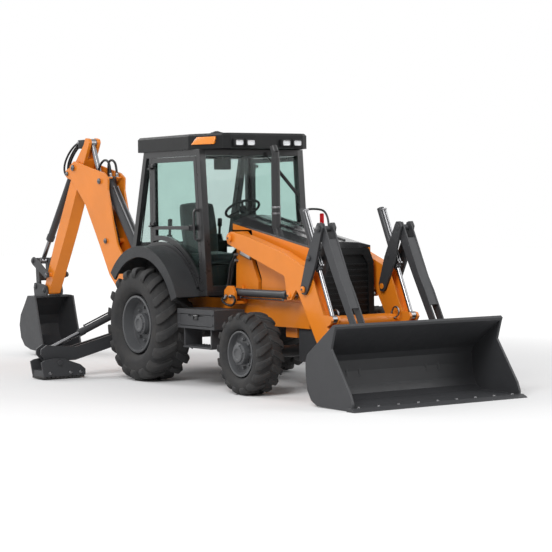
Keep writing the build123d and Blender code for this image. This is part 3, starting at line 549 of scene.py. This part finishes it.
def tyre(node, rim_node, body, lugs, wide, slant):
    """A tyre with a rounded casing, bead rings on its walls and two rows of tread bars."""
    low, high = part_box(node)
    rim_low, rim_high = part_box(rim_node)
    middle = (Vector(low) + Vector(high)) / 2
    radius, half = (high[2] - low[2]) / 2, (high[1] - low[1]) / 2
    rim_r = (rim_high[2] - rim_low[2]) / 2
    lug = radius * 0.055
    depth = radius - lug - rim_r
    deselect()
    bpy.ops.mesh.primitive_circle_add(vertices=44, radius=1.0)
    body_mesh = bpy.context.object
    for vertex in body_mesh.data.vertices:
        across, reach = casing_point(math.atan2(vertex.co.y, vertex.co.x), half, rim_r, depth)
        up = (reach - rim_r) / depth
        ring = 0.012 * half if 0.29 < up < 0.40 or 0.62 < up < 0.69 else 0.0
        vertex.co = (0, across + math.copysign(ring, across), reach)
    edit(body_mesh)
    bpy.ops.mesh.select_mode(type="EDGE")
    bpy.ops.mesh.select_all(action="SELECT")
    bpy.ops.mesh.spin(steps=96, angle=math.tau, center=(0, 0, 0), axis=(0, 1, 0))
    leave()
    outward(body_mesh)
    bar = tread_bar(radius, half, rim_r, depth, lug, wide, slant)
    twin = moved(bar, Matrix.Scale(-1, 4, (0, 1, 0)))
    outward(twin)
    pieces = [body_mesh]
    for k in range(lugs):
        pieces.append(moved(bar, about_y(math.tau * k / lugs)))
        pieces.append(moved(twin, about_y(math.tau * (k + 0.5) / lugs)))
    for spare in (bar, twin):
        bpy.data.objects.remove(spare)
    whole = joined(pieces)
    whole.data.transform(Matrix.Translation(middle))
    settle(whole, f"{node}_tread", body, "tyre_rubber", (node,), 40.0)


class BACKHOE_OT_tyres(bpy.types.Operator):
    """Models the four tyres with their tread"""
    bl_idname = "backhoe.tyres"
    bl_label = "Tyres"

    def execute(self, context):
        fit = context.scene.backhoe_fittings
        for side in SIDES:
            tyre(f"rear_tyre_{side}", f"rear_rim_{side}", f"rear_wheel_{side}", fit.rear_lugs, 0.072, 0.62)
            tyre(f"front_tyre_{side}", f"front_rim_{side}", f"front_wheel_{side}", fit.front_lugs, 0.055, 0.55)
        return {"FINISHED"}


def bolt_head(place, towards, width, tall):
    """A six-sided bolt head on its washer, seated at a place."""
    place, towards = Vector(place), Vector(towards).normalized()
    washer = drum(place - towards * 0.002, place + towards * tall * 0.22, width * 0.62, 16)
    head = drum(place, place + towards * tall, width / 2, 6, width * 0.06)
    return joined([washer, head])


def bolt_ring(centre, towards, ring, count, width, tall, start=0.0):
    """Bolt heads on a circle about the Y axis."""
    first = bolt_head(centre + Vector((0, 0, ring)), towards, width, tall)
    copies = [moved(first, turn_about(centre, start + math.tau * k / count)) for k in range(count)]
    bpy.data.objects.remove(first)
    return copies


class BACKHOE_OT_wheel_fittings(bpy.types.Operator):
    """Adds hub covers and wheel bolts"""
    bl_idname = "backhoe.wheel_fittings"
    bl_label = "Wheel fittings"

    def execute(self, context):
        width = context.scene.backhoe_fittings.bolt
        sizes = {"rear": (0.067, 0.112, 0.118, 0.185, 10), "front": (0.069, 0.114, 0.112, 0.148, 8)}
        for end, (disc, face, hub_r, ring, count) in sizes.items():
            for side, sign in SIDES.items():
                centre = PIVOT[f"{end}_wheel_{side}_spin"]
                out = Vector((0, sign, 0))
                hub = drum(centre + out * (disc - 0.002), centre + out * (face + 0.03), hub_r, 40)
                edit(hub, lambda c, n, out=out: n.dot(out) > 0.9)
                step_in(hub_r * 0.22, out * 0.022)
                step_in(hub_r * 0.30, out * -0.010)
                leave()
                bevel(hub, 0.005, 2)
                pieces = [hub] + bolt_ring(centre + out * disc, out, ring, count, width, 0.028)
                pieces += bolt_ring(centre + out * (face + 0.029), out, hub_r * 0.86, 6, width * 0.55, 0.012, 0.3)
                settle(joined(pieces), f"{end}_hub_{side}", f"{end}_wheel_{side}", "rim_paint")
        return {"FINISHED"}


class BACKHOE_OT_lamps(bpy.types.Operator):
    """Models the roof's work lamps and the amber marker lamps"""
    bl_idname = "backhoe.lamps"
    bl_label = "Lamps"

    def execute(self, context):
        roof_low, roof_high = (Vector(corner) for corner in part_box("cab_roof"))
        z_low, z_high = roof_low.z + 0.022, roof_low.z + 0.102
        pieces = []
        for x, out, places in ((roof_high.x, 1, (-0.385, -0.235, 0.235, 0.385)), (roof_low.x, -1, (-0.53, 0.53))):
            for y in places:
                far = x + out * 0.044
                body = box((min(x, far), y - 0.062, z_low), (max(x, far), y + 0.062, z_high), 0.008)
                recess(body, ("trim_plastic", "clear_lens"), Vector((out, 0, 0)), 0.010, 0.010)
                pieces.append(body)
        settle(joined(pieces), "work_lamps", "tractor", None, ("lamps",))
        markers = []
        for sign in SIDES.values():
            body = box((-0.15, -0.016, -0.042), (0.15, 0.016, 0.042))
            for vertex in body.data.vertices:
                vertex.co.x += 0.045 * (vertex.co.z / 0.042) * (1.0 if vertex.co.x < 0 else 0.25)
            bevel(body, 0.010, 3)
            body.matrix_world = Matrix.Translation(spot(0.93, sign * 0.643, 2.690)) @ Matrix.Rotation(
                math.atan2(-0.32 * sign, 0.947), 4, "Z")
            markers.append(apply_place(body))
        settle(joined(markers), "marker_lamps", "tractor", "amber_lens")
        return {"FINISHED"}


def cushion(low, high, crown, seams):
    """A crowned pad with pulled-in sides and sewn channels across it."""
    piece = box(low, high)
    low, high = Vector(low), Vector(high)
    middle, half = (low + high) / 2, (high - low) / 2
    edit(piece)
    bpy.ops.mesh.subdivide(number_cuts=14)
    leave()
    for vertex in piece.data.vertices:
        u, v, w = ((vertex.co[k] - middle[k]) / half[k] for k in range(3))
        swell = (1 - u * u) * (1 - v * v)
        pinch = 1.0 - 0.07 * abs(w) ** 3
        channel = sum(math.exp(-((u - at) / 0.07) ** 2) for at in seams)
        vertex.co.x = middle.x + half.x * u * (1.0 - 0.06 * v * v) * pinch
        vertex.co.y = middle.y + half.y * v * (1.0 - 0.06 * u * u) * pinch
        if w > 0:
            vertex.co.z += crown * swell * w - channel * crown * 0.45 * (1 - v * v) * w
    smooth = piece.modifiers.new("soft", "SUBSURF")
    smooth.levels = smooth.render_levels = 1
    bpy.context.view_layer.objects.active = piece
    bpy.ops.object.modifier_apply(modifier=smooth.name)
    return piece


class BACKHOE_OT_seat(bpy.types.Operator):
    """Models the operator's seat as a padded cushion and back"""
    bl_idname = "backhoe.seat"
    bl_label = "Seat"

    def execute(self, context):
        low, high = (Vector(corner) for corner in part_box("seat"))
        crown, foot, top = 0.03, low.x + 0.16, low.z + 0.13
        base = cushion((low.x + 0.12, low.y + 0.01, low.z + 0.01), (high.x, high.y - 0.01, top), crown,
                       (-0.35, 0.35))
        settle(base, "seat_cushion", "tractor", "seat_cloth", ("seat",), 60.0)
        back = cushion((foot, low.y + 0.02, top), (foot + high.z - top, high.y - 0.02, top + 0.10), crown,
                       (-0.4, 0.1, 0.55))
        back.data.transform(turn_about(Vector((foot, 0, top)), math.radians(-101)))
        settle(back, "seat_back", "tractor", "seat_cloth", (), 60.0)
        return {"FINISHED"}


def tube(points, thickness):
    """A smooth round tube along a given route, as a mesh."""
    curve = bpy.data.curves.new("route", "CURVE")
    curve.dimensions = "3D"
    curve.bevel_depth = thickness / 2
    curve.bevel_resolution = 3
    curve.use_fill_caps = True
    line = curve.splines.new("NURBS")
    line.points.add(len(points) - 1)
    for control, point in zip(line.points, points):
        control.co = (*point, 1.0)
    line.order_u = 3
    line.use_endpoint_u = True
    line.resolution_u = 6
    piece = bpy.data.objects.new("route", curve)
    bpy.context.collection.objects.link(piece)
    choose(piece)
    bpy.ops.object.convert(target="MESH")
    return bpy.context.object


def hose(points, thickness, skin, nut="steel"):
    """A hose, pipe or rail along a route, with a sleeve and a nut at each end."""
    pieces = [dressed(tube(points, thickness), skin)]
    for end, following in ((points[0], points[1]), (points[-1], points[-2])):
        end = Vector(end)
        way = (Vector(following) - end).normalized() * thickness
        pieces.append(dressed(drum(end, end + way * 1.7, thickness * 0.66, 16, thickness * 0.12), nut))
        pieces.append(dressed(drum(end - way * 0.5, end + way * 0.3, thickness * 0.82, 6, thickness * 0.08), nut))
    return pieces


class BACKHOE_OT_pins(bpy.types.Operator):
    """Adds the pin heads with their keeper bolts at the pivots"""
    bl_idname = "backhoe.pins"
    bl_label = "Pins"

    def execute(self, context):
        width = context.scene.backhoe_fittings.bolt
        heads = {
            "lift_arms": ("orange_paint", [("loader_lift", 0.577, 0.044), ("rear_link_turn", 0.597, 0.034),
                                           ((2.420, 1.030), 0.559, 0.030)]),
            "loader_bucket": ("charcoal_paint", [("loader_tilt", 0.597, 0.042), ((3.560, 0.720), 0.589, 0.036)]),
            "rear_links": ("charcoal_paint", [("front_link_turn", 0.593, 0.034), ("tilt_barrel_turn", 0.593, 0.028)]),
            "swing_tower": ("dark_steel", [("boom_lift", 0.184, 0.046), ((-1.400, 1.060), 0.177, 0.040)]),
            "boom": ("dark_steel", [("boom_barrel_turn", 0.143, 0.036), ("dipper_crowd", 0.143, 0.040),
                                    ("dipper_barrel_turn", 0.143, 0.033)]),
            "dipper": ("dark_steel", [("guide_link_turn", 0.154, 0.032), ("curl_barrel_turn", 0.085, 0.028)]),
            "hoe_bucket": ("charcoal_paint", [("hoe_bucket_curl", 0.125, 0.036), ((-4.360, 0.920), 0.124, 0.034)]),
            "guide_link": ("charcoal_paint", [("bucket_link_turn", 0.152, 0.032)]),
        }
        for body, (finish, rows) in heads.items():
            pieces = []
            for place, face, radius in rows:
                at = PIVOT[place] if place in PIVOT else spot(place[0], 0, place[1])
                for sign in SIDES.values():
                    centre = Vector((at.x, sign * face, at.z))
                    out = Vector((0, sign, 0))
                    head = drum(centre - out * 0.004, centre + out * 0.012, radius, 28)
                    domed(head, out, ((radius * 0.30, 0.0), (radius * 0.06, 0.006)))
                    bevel(head, 0.002, 2)
                    keeper = bolt_head(centre + out * 0.017, out, width * 0.6, 0.010)
                    pieces += [dressed(head, finish), dressed(keeper, "dark_steel")]
            settle(joined(pieces), f"{body}_pins", body)
        return {"FINISHED"}


class BACKHOE_OT_hoses(bpy.types.Operator):
    """Lays the hydraulic hoses and steel pipes"""
    bl_idname = "backhoe.hoses"
    bl_label = "Hoses and pipes"

    def execute(self, context):
        fit = context.scene.backhoe_fittings
        self.boom_loops(fit)
        self.dipper_bundle(fit)
        self.ram_pipes(fit)
        self.tower_hoses(fit)
        self.arm_loops(fit)
        return {"FINISHED"}

    def boom_loops(self, fit):
        """Hoses that arch over the boom's head between lugs on its plates."""
        head = PIVOT["boom_barrel_turn"]
        loops = []
        for sign in SIDES.values():
            route = [(0.13, 0.045, 0.05), (0.12, 0.045, 0.20), (0.03, 0.045, 0.27), (-0.08, 0.045, 0.26),
                     (-0.15, 0.072, 0.16), (-0.16, 0.081, 0.0)]
            loops += hose([(head.x + x, sign * y, head.z + z) for x, y, z in route], fit.hose, "hose_rubber")
            for x, y, z in ((0.13, 0.028, 0.03), (-0.16, 0.066, -0.03)):
                low, high = sorted((sign * y, sign * 0.107))
                lug = box((head.x + x - 0.025, low, head.z + z), (head.x + x + 0.025, high, head.z + z + 0.022), 0.005)
                loops.append(dressed(lug, "orange_paint"))
        settle(joined(loops), "boom_hoses", "boom")

    def dipper_bundle(self, fit):
        """The clamp on the dipper's top, with hoses that swing out and down to the curl cylinder."""
        clamp = box(spot(-3.20, -0.055, 2.76), spot(-2.99, 0.055, 2.862), 0.012, 3)
        edit(clamp, lambda centre, normal: normal.x < -0.9)
        step_in(0.022, (-0.05, 0, -0.02))
        leave()
        pieces = [dressed(clamp, "trim_plastic")]
        route = [(-3.18, 2.83), (-3.30, 2.80), (-3.46, 2.70), (-3.575, 2.58), (-3.60, 2.47), (-3.54, 2.40),
                 (-3.47, 2.40)]
        start = route[0][0]
        for y in (-0.040, 0.0, 0.040):
            grow = 1.0 + abs(y) * 1.5
            pieces += hose([spot(start + (x - start) * grow, y, z) for x, z in route], fit.hose * 0.9, "hose_rubber")
        settle(joined(pieces), "dipper_hoses", "dipper")

    def ram_pipes(self, fit):
        """Steel pipes along the barrels."""
        rows = (("lift_barrels", "lift", 0.10, 0.92, -0.036, -0.057, (-0.5, 0.5), "black_paint"),
                ("tilt_barrels", "tilt", 0.575, 1.19, 0.037, 0.054, (-0.515, -0.485, 0.485, 0.515), "steel"),
                ("boom_barrel", "boom", 0.17, 1.20, 0.064, 0.086, (-0.03, 0.03), "steel"),
                ("dipper_barrel", "dipper", 0.15, 0.74, 0.051, 0.073, (0.0,), "steel"),
                ("curl_barrel", "curl", 0.13, 1.00, 0.040, 0.062, (0.0,), "black_paint"))
        for body, ram, start, stop, wall, out, places, skin in rows:
            pieces = []
            for y in places:
                route = [beside(ram, start, wall, y), beside(ram, start, out, y), beside(ram, start + 0.04, out, y),
                         beside(ram, stop - 0.04, out, y), beside(ram, stop, out, y), beside(ram, stop, wall, y)]
                pieces += hose(route, fit.pipe, skin)
            settle(joined(pieces), f"{body}_pipe", body)
        for side, sign in SIDES.items():
            way, up = Vector((0, sign * 0.923, -0.3846)), Vector((0, sign * 0.3846, 0.923))
            top = spot(-0.93, sign * 0.40, 0.87)
            offsets = ((0.10, 0.035), (0.10, 0.056), (0.14, 0.056), (0.80, 0.056), (0.84, 0.056), (0.84, 0.035))
            route = [top + way * along + up * off for along, off in offsets]
            settle(joined(hose(route, fit.pipe, "black_paint")), f"stabiliser_pipe_{side}",
                   f"stabiliser_barrel_{side}")

    def tower_hoses(self, fit):
        """Hoses that drop behind the loader towers and loop round to the lift cylinders."""
        pieces = []
        for sign in SIDES.values():
            for shift in (0.0, 0.034):
                top = 1.37 + 2 * shift
                route = [(1.195, 0.40, top), (1.185, 0.428, top), (1.13, 0.432 + shift, 1.31),
                         (1.11, 0.43 + shift, 1.20), (1.09, 0.45 + shift, 1.06),
                         (1.11 + shift, 0.50 + shift, 0.985), (1.16 + shift, 0.59 + shift, 0.955)]
                if shift:
                    route += [(1.26, 0.615, 0.90), (1.40, 0.612, 0.885), (1.46, 0.608, 0.945), (1.41, 0.602, 1.0),
                              (1.33, 0.592, 0.985)]
                else:
                    route += [(1.22, 0.60, 0.955), (1.245, 0.588, 0.99)]
                pieces += hose([spot(x, sign * y, z) for x, y, z in route], fit.hose * 0.85, "hose_rubber")
        settle(joined(pieces), "tower_hoses", "tractor")

    def arm_loops(self, fit):
        """Steel loops on the tube between the arms."""
        pieces = []
        for sign in SIDES.values():
            route = [(2.966, 0.778), (3.015, 0.792), (3.055, 0.835), (3.040, 0.888), (2.985, 0.902),
                     (2.942, 0.872), (2.925, 0.822)]
            pieces += hose([spot(x, sign * 0.385, z) for x, z in route], fit.pipe, "steel")
        settle(joined(pieces), "arm_loops", "lift_arms")


class BACKHOE_OT_cab_fittings(bpy.types.Operator):
    """Adds grab bars, latches, wiper, mirror, roof dome and the levers' knobs"""
    bl_idname = "backhoe.cab_fittings"
    bl_label = "Cab fittings"

    def execute(self, context):
        for side, sign in SIDES.items():
            self.door_bar(side, sign)
        self.wiper()
        self.mirror()
        self.roof_dome()
        self.levers()
        return {"FINISHED"}

    def door_bar(self, side, sign):
        """A bent grab bar and a latch on the door's front edge."""
        route = [(0.865, 0.688, 1.60), (0.850, 0.735, 1.60), (0.845, 0.742, 1.64), (0.835, 0.742, 1.89),
                 (0.832, 0.735, 1.93), (0.843, 0.688, 1.93)]
        pieces = hose([spot(x, sign * y, z) for x, y, z in route], 0.026, "black_paint", "black_paint")
        latch = box(spot(0.70, sign * 0.712 - 0.022, 1.70), spot(0.80, sign * 0.712 + 0.022, 1.765), 0.008, 3)
        recess(latch, ("trim_plastic",), Vector((0, sign, 0)), 0.014, 0.010)
        settle(joined([latch] + pieces), f"door_bar_{side}", f"door_{side}")

    def wiper(self):
        """The windscreen's wiper with its arm and blade."""
        glass = lambda y, z, out: spot(0.976 - (z - 1.03) * 0.077 + out, y, z)
        hub = drum(glass(0.18, 2.545, -0.004), glass(0.18, 2.545, 0.035), 0.028, 20, 0.006)
        arm = tube([glass(0.18, 2.545, 0.03), glass(0.24, 2.48, 0.034), glass(0.44, 2.26, 0.024)], 0.014)
        blade = box((-0.007, -0.21, -0.016), (0.010, 0.21, 0.012), 0.004)
        edit(blade, lambda centre, normal: normal.z > 0.9)
        bpy.ops.mesh.inset(thickness=0.004, depth=0.010)
        leave()
        slope = Matrix.Rotation(math.radians(-48), 4, "X")
        blade.matrix_world = Matrix.Translation(glass(0.46, 2.24, 0.014)) @ about_y(math.radians(-4.4)) @ slope
        apply_place(blade)
        settle(joined([hub, arm, blade]), "wiper", "tractor", "trim_plastic")

    def mirror(self):
        """The inside mirror on its stalk."""
        shell = box(spot(0.775, -0.44, 2.375), spot(0.81, -0.225, 2.50), 0.014, 3)
        recess(shell, ("trim_plastic", "chrome"), Vector((-1, 0, 0)), 0.010, 0.004)
        route = [spot(x, -0.33, z) for x, z in ((0.80, 2.48), (0.82, 2.53), (0.84, 2.56))]
        stalk = dressed(tube(route, 0.016), "trim_plastic")
        settle(joined([shell, stalk]), "cab_mirror", "tractor")

    def roof_dome(self):
        """The low round cover on the roof."""
        dome = drum(spot(0.60, -0.28, 2.766), spot(0.60, -0.28, 2.782), 0.068, 40, 0.004)
        domed(dome, (0, 0, 1), ((0.008, 0.016), (0.014, 0.010), (0.018, 0.006)))
        settle(dome, "roof_dome", "tractor", "trim_plastic", (), 50.0)

    def levers(self):
        """Knobs and bellows on the hoe's levers."""
        pieces = []
        for sign in SIDES.values():
            for k in range(4):
                x, rise, wide = -0.380 + 0.002 * k, 1.555 + 0.022 * k, 0.050 - 0.006 * k
                low, high = spot(x, sign * 0.34, rise), spot(x + 0.002, sign * 0.34, rise + 0.024)
                pieces.append(drum(low, high, wide, 20, 0.007))
            knob = drum(spot(-0.362, sign * 0.34, 1.735), spot(-0.356, sign * 0.34, 1.815), 0.027, 24)
            domed(knob, (0, 0, 1), ((0.004, 0.010), (0.007, 0.005)))
            bevel(knob, 0.006, 3)
            pieces.append(knob)
        settle(joined(pieces), "lever_knobs", "tractor", "trim_plastic", (), 50.0)


class BACKHOE_OT_hood_fittings(bpy.types.Operator):
    """Adds the hood's handrail with its lock, ridges, exhaust clamps and work lamps"""
    bl_idname = "backhoe.hood_fittings"
    bl_label = "Hood fittings"

    def execute(self, context):
        self.handrail()
        self.clamps()
        self.ridges()
        self.arm_lamps()
        return {"FINISHED"}

    def handrail(self):
        """A bent rail on the left shoulder with a red lock handle."""
        route = [(1.30, 0.374, 1.745), (1.31, 0.40, 1.86), (1.36, 0.402, 1.925), (1.63, 0.402, 1.922),
                 (1.735, 0.402, 1.89), (1.80, 0.40, 1.78), (1.83, 0.374, 1.66)]
        pieces = hose([spot(*place) for place in route], 0.024, "black_paint", "black_paint")
        stem = drum(spot(1.665, 0.40, 1.68), spot(1.665, 0.40, 1.78), 0.010, 16, 0.002)
        grip = box(spot(1.635, 0.388, 1.755), spot(1.695, 0.412, 1.875), 0.010, 3)
        edit(grip, lambda centre, normal: abs(normal.y) > 0.9)
        bpy.ops.mesh.inset(thickness=0.010, depth=-0.004)
        leave()
        foot = box(spot(1.62, 0.372, 1.662), spot(1.71, 0.410, 1.690), 0.006)
        pieces += [dressed(stem, "steel"), dressed(grip, "red_plastic"), dressed(foot, "black_paint")]
        settle(joined(pieces), "hood_rail", "tractor")

    def clamps(self):
        """Band clamps round the exhaust stack."""
        pieces = []
        x, y, wide, radius = 1.690, -0.22, 0.022, 0.051
        for low in (1.868, 1.935):
            band = drum(spot(x, y, low), spot(x, y, low + wide), radius, 40, 0.003)
            lug = bolt_head(spot(x + 0.050, y, low + wide / 2), (1, 0, 0), 0.018, 0.016)
            finish = "steel" if low > 1.9 else "dark_steel"
            pieces += [dressed(band, finish), dressed(lug, finish)]
        settle(joined(pieces), "exhaust_clamps", "tractor")

    def ridges(self):
        """Raised ridges along the hood."""
        ridge_line = lambda x: 1.775 - (x - 1.075) * 0.175 + 0.095 - (x - 1.075) * 0.02
        pieces = []
        for sign in SIDES.values():
            start = spot(1.12, sign * 0.12, ridge_line(1.12) - 0.012)
            end = spot(2.50, sign * 0.10, ridge_line(2.50) - 0.012)
            way = end - start
            strip = box((0, -0.016, 0), (way.length, 0.016, 0.022), 0.008, 3)
            strip.matrix_world = Matrix.Translation(start) @ way.to_track_quat("X", "Z").to_matrix().to_4x4()
            pieces.append(dressed(apply_place(strip), "hood_black"))
        settle(joined(pieces), "hood_ridges", "tractor")

    def arm_lamps(self):
        """Long work lamps on the towers below the arms."""
        pieces = []
        for sign in SIDES.values():
            lamp = box((-0.11, -0.012, -0.034), (0.11, 0.014, 0.034), 0.010, 3)
            recess(lamp, ("steel", "clear_lens"), Vector((0, sign, 0)), 0.008, 0.004)
            lamp.matrix_world = Matrix.Translation(spot(1.375, sign * 0.417, 1.440)) @ about_y(math.radians(16))
            pieces.append(apply_place(lamp))
        settle(joined(pieces), "arm_lamps", "tractor")


class BACKHOE_OT_wear_parts(bpy.types.Operator):
    """Adds the cutting edge's bolts, tooth pins, pad cleats and step grips"""
    bl_idname = "backhoe.wear_parts"
    bl_label = "Wear parts"

    def execute(self, context):
        width = context.scene.backhoe_fittings.bolt
        self.edge_bolts(width)
        self.tooth_pins(width)
        for side, sign in SIDES.items():
            self.pad_cleats(side, sign, width)
        self.step_grips(width)
        return {"FINISHED"}

    def edge_bolts(self, width):
        first = bolt_head(spot(4.15, -0.96, 0.033), (0, 0, 1), width, 0.012)
        pieces = [moved(first, Matrix.Translation((0, 0.24 * k, 0))) for k in range(9)]
        bpy.data.objects.remove(first)
        settle(joined(pieces), "edge_bolts", "loader_bucket", "steel")

    def tooth_pins(self, width):
        pieces = []
        for k in range(5):
            for sign in SIDES.values():
                y = (k - 2) * 0.1275 + sign * 0.031
                pieces.append(bolt_head(spot(-3.82, y, 0.072), (0, sign, 0), width * 0.7, 0.010))
        settle(joined(pieces), "tooth_pins", "hoe_bucket", "steel")

    def pad_cleats(self, side, sign, width):
        """Rubber layers bolted under the pad."""
        low_y = 1.275 if sign > 0 else -1.319
        first = box(spot(-1.078, low_y, 0.012), spot(-0.782, low_y + 0.044, 0.037), 0.006)
        pieces = [dressed(moved(first, Matrix.Translation((0, sign * 0.054 * k, 0))), "tyre_rubber") for k in range(10)]
        bpy.data.objects.remove(first)
        for x, out in ((-1.080, -1), (-0.780, 1)):
            for y in (1.33, 1.46, 1.72):
                pieces.append(dressed(bolt_head(spot(x, sign * y, 0.075), (out, 0, 0), width, 0.018), "steel"))
        settle(joined(pieces), f"pad_cleats_{side}", f"stabiliser_leg_{side}")

    def step_grips(self, width):
        """Studs on the steps and a latch on each tool box."""
        stud = drum(spot(0.86, 0.68, 0.443), spot(0.86, 0.68, 0.453), 0.011, 8)
        domed(stud, (0, 0, 1), ((0.004, 0.002),))
        pieces = []
        for sign in SIDES.values():
            for row in range(4):
                for k in range(10):
                    place = Matrix.Translation((0.055 * k, sign * (0.68 + 0.055 * row) - 0.68, 0))
                    pieces.append(dressed(moved(stud, place), "charcoal_paint"))
            latch = box(spot(1.07, sign * 0.906 - 0.010, 0.735), spot(1.165, sign * 0.906 + 0.010, 0.79), 0.006, 3)
            recess(latch, ("black_paint",), Vector((0, sign, 0)), 0.012, 0.006)
            pieces.append(latch)
            for x in (0.765, 1.47):
                for z in (0.69, 0.80):
                    bolt = bolt_head(spot(x, sign * 0.909, z), (0, sign, 0), width * 0.8, 0.012)
                    pieces.append(dressed(bolt, "charcoal_paint"))
        bpy.data.objects.remove(stud)
        settle(joined(pieces), "step_grips", "tractor")


class BACKHOE_OT_stage(bpy.types.Operator):
    """Sets the floor, the lights and the camera"""
    bl_idname = "backhoe.stage"
    bl_label = "Studio"

    def execute(self, context):
        stage = context.scene.backhoe_stage
        self.lay_floor(tuple(stage.floor))
        self.light_studio(context.scene)
        self.aim_camera(context.scene, stage)
        context.scene.view_settings.view_transform = "Standard"
        return {"FINISHED"}

    def lay_floor(self, colour):
        deselect()
        bpy.ops.mesh.primitive_circle_add(vertices=96, radius=60.0, fill_type="NGON")
        floor = bpy.context.object
        floor.name = "studio_floor"
        finish = Finish("studio_floor", Roughness=0.9, Emission_Strength=1.0)
        away = finish.node("ShaderNodeVectorMath", {"operation": "LENGTH"}, {0: finish.place()}, output="Value")
        white = finish.ramp(away, 3.0, 8.0)
        rays = [finish.node("ShaderNodeLightPath", output=name) for name in
                ("Is Camera Ray", "Is Glossy Ray", "Is Transmission Ray")]
        seen = finish.ramp(rays[0] + rays[1] + rays[2], 0.0, 1.0)
        finish.set(Base_Color=finish.mix(white * seen, colour, (0.0, 0.0, 0.0)))
        finish.set(Emission_Color=finish.mix(white * seen, (0.0, 0.0, 0.0), (1.0, 1.0, 1.0)))
        floor.data.materials.append(finish.material)

    def light_studio(self, scene):
        world = bpy.data.worlds.new("studio")
        scene.world = world
        world.use_nodes = True
        nodes, links = world.node_tree.nodes, world.node_tree.links
        rays = nodes.new("ShaderNodeLightPath")
        first, both = nodes.new("ShaderNodeMath"), nodes.new("ShaderNodeMath")
        for node, one, two in ((first, rays.outputs["Is Camera Ray"], rays.outputs["Is Transmission Ray"]),
                               (both, first.outputs[0], rays.outputs["Is Glossy Ray"])):
            node.operation = "MAXIMUM"
            links.new(one, node.inputs[0])
            links.new(two, node.inputs[1])
        light = nodes.new("ShaderNodeMix")
        light.data_type = "FLOAT"
        light.inputs[2].default_value = 0.40
        light.inputs[3].default_value = 1.0
        links.new(both.outputs[0], light.inputs[0])
        background = nodes["Background"]
        background.inputs["Color"].default_value = (1, 1, 1, 1)
        links.new(light.outputs[0], background.inputs["Strength"])
        for name, place, target, size, power in (
                ("key", (9.0, -10.0, 11.0), (0.5, 0.0, 1.2), 7.0, 1750.0),
                ("fill", (11.0, 8.0, 8.0), (0.5, 0.0, 1.0), 8.0, 560.0),
                ("rim", (-9.0, -5.0, 9.0), (-1.0, 0.0, 1.5), 7.0, 700.0)):
            lamp = bpy.data.lights.new(name, "AREA")
            lamp.energy = power
            lamp.size = size
            holder = bpy.data.objects.new(name, lamp)
            holder.location = place
            holder.rotation_euler = (Vector(target) - Vector(place)).to_track_quat("-Z", "Y").to_euler()
            bpy.context.collection.objects.link(holder)

    def aim_camera(self, scene, stage):
        lens_data = bpy.data.cameras.new("photo_camera")
        lens_data.lens = stage.lens
        lens_data.sensor_width = 36.0
        lens_data.clip_end = 300.0
        holder = bpy.data.objects.new("photo_camera", lens_data)
        bpy.context.collection.objects.link(holder)
        right = Vector((math.cos(stage.yaw), math.sin(stage.yaw), 0.0))
        back = Vector((math.sin(stage.yaw) * math.cos(stage.pitch), -math.cos(stage.yaw) * math.cos(stage.pitch),
                       math.sin(stage.pitch)))
        up = back.cross(right)
        across = right * math.cos(stage.roll) + up * math.sin(stage.roll)
        upright = up * math.cos(stage.roll) - right * math.sin(stage.roll)
        turn = Matrix((across, upright, back)).transposed()
        holder.matrix_world = Matrix.Translation(spot(*stage.eye)) @ turn.to_4x4()
        scene.camera = holder


STEPS = (BACKHOE_OT_finishes, BACKHOE_OT_stage, BACKHOE_OT_tyres, BACKHOE_OT_wheel_fittings, BACKHOE_OT_lamps,
         BACKHOE_OT_seat, BACKHOE_OT_pins, BACKHOE_OT_hoses, BACKHOE_OT_cab_fittings, BACKHOE_OT_hood_fittings,
         BACKHOE_OT_wear_parts)


class BACKHOE_PT_panel(bpy.types.Panel):
    """Lists the steps that dress the machine"""
    bl_idname = "BACKHOE_PT_panel"
    bl_label = "Backhoe Loader"
    bl_space_type = "VIEW_3D"
    bl_region_type = "UI"
    bl_category = "Backhoe"

    def draw(self, context):
        for step in STEPS:
            self.layout.operator(step.bl_idname)


CLASSES = (PaintSettings, FittingSettings, StageSettings, *STEPS, BACKHOE_PT_panel)
SETTINGS = {"backhoe_paint": PaintSettings, "backhoe_fittings": FittingSettings, "backhoe_stage": StageSettings}


def register():
    for made in CLASSES:
        bpy.utils.register_class(made)
    for name, group in SETTINGS.items():
        setattr(bpy.types.Scene, name, PointerProperty(type=group))


def unregister():
    for name in SETTINGS:
        delattr(bpy.types.Scene, name)
    for made in reversed(CLASSES):
        bpy.utils.unregister_class(made)


def main():
    register()
    for step in STEPS:
        family, action = step.bl_idname.split(".")
        getattr(getattr(bpy.ops, family), action)()


if __name__ == "__main__":
    main()
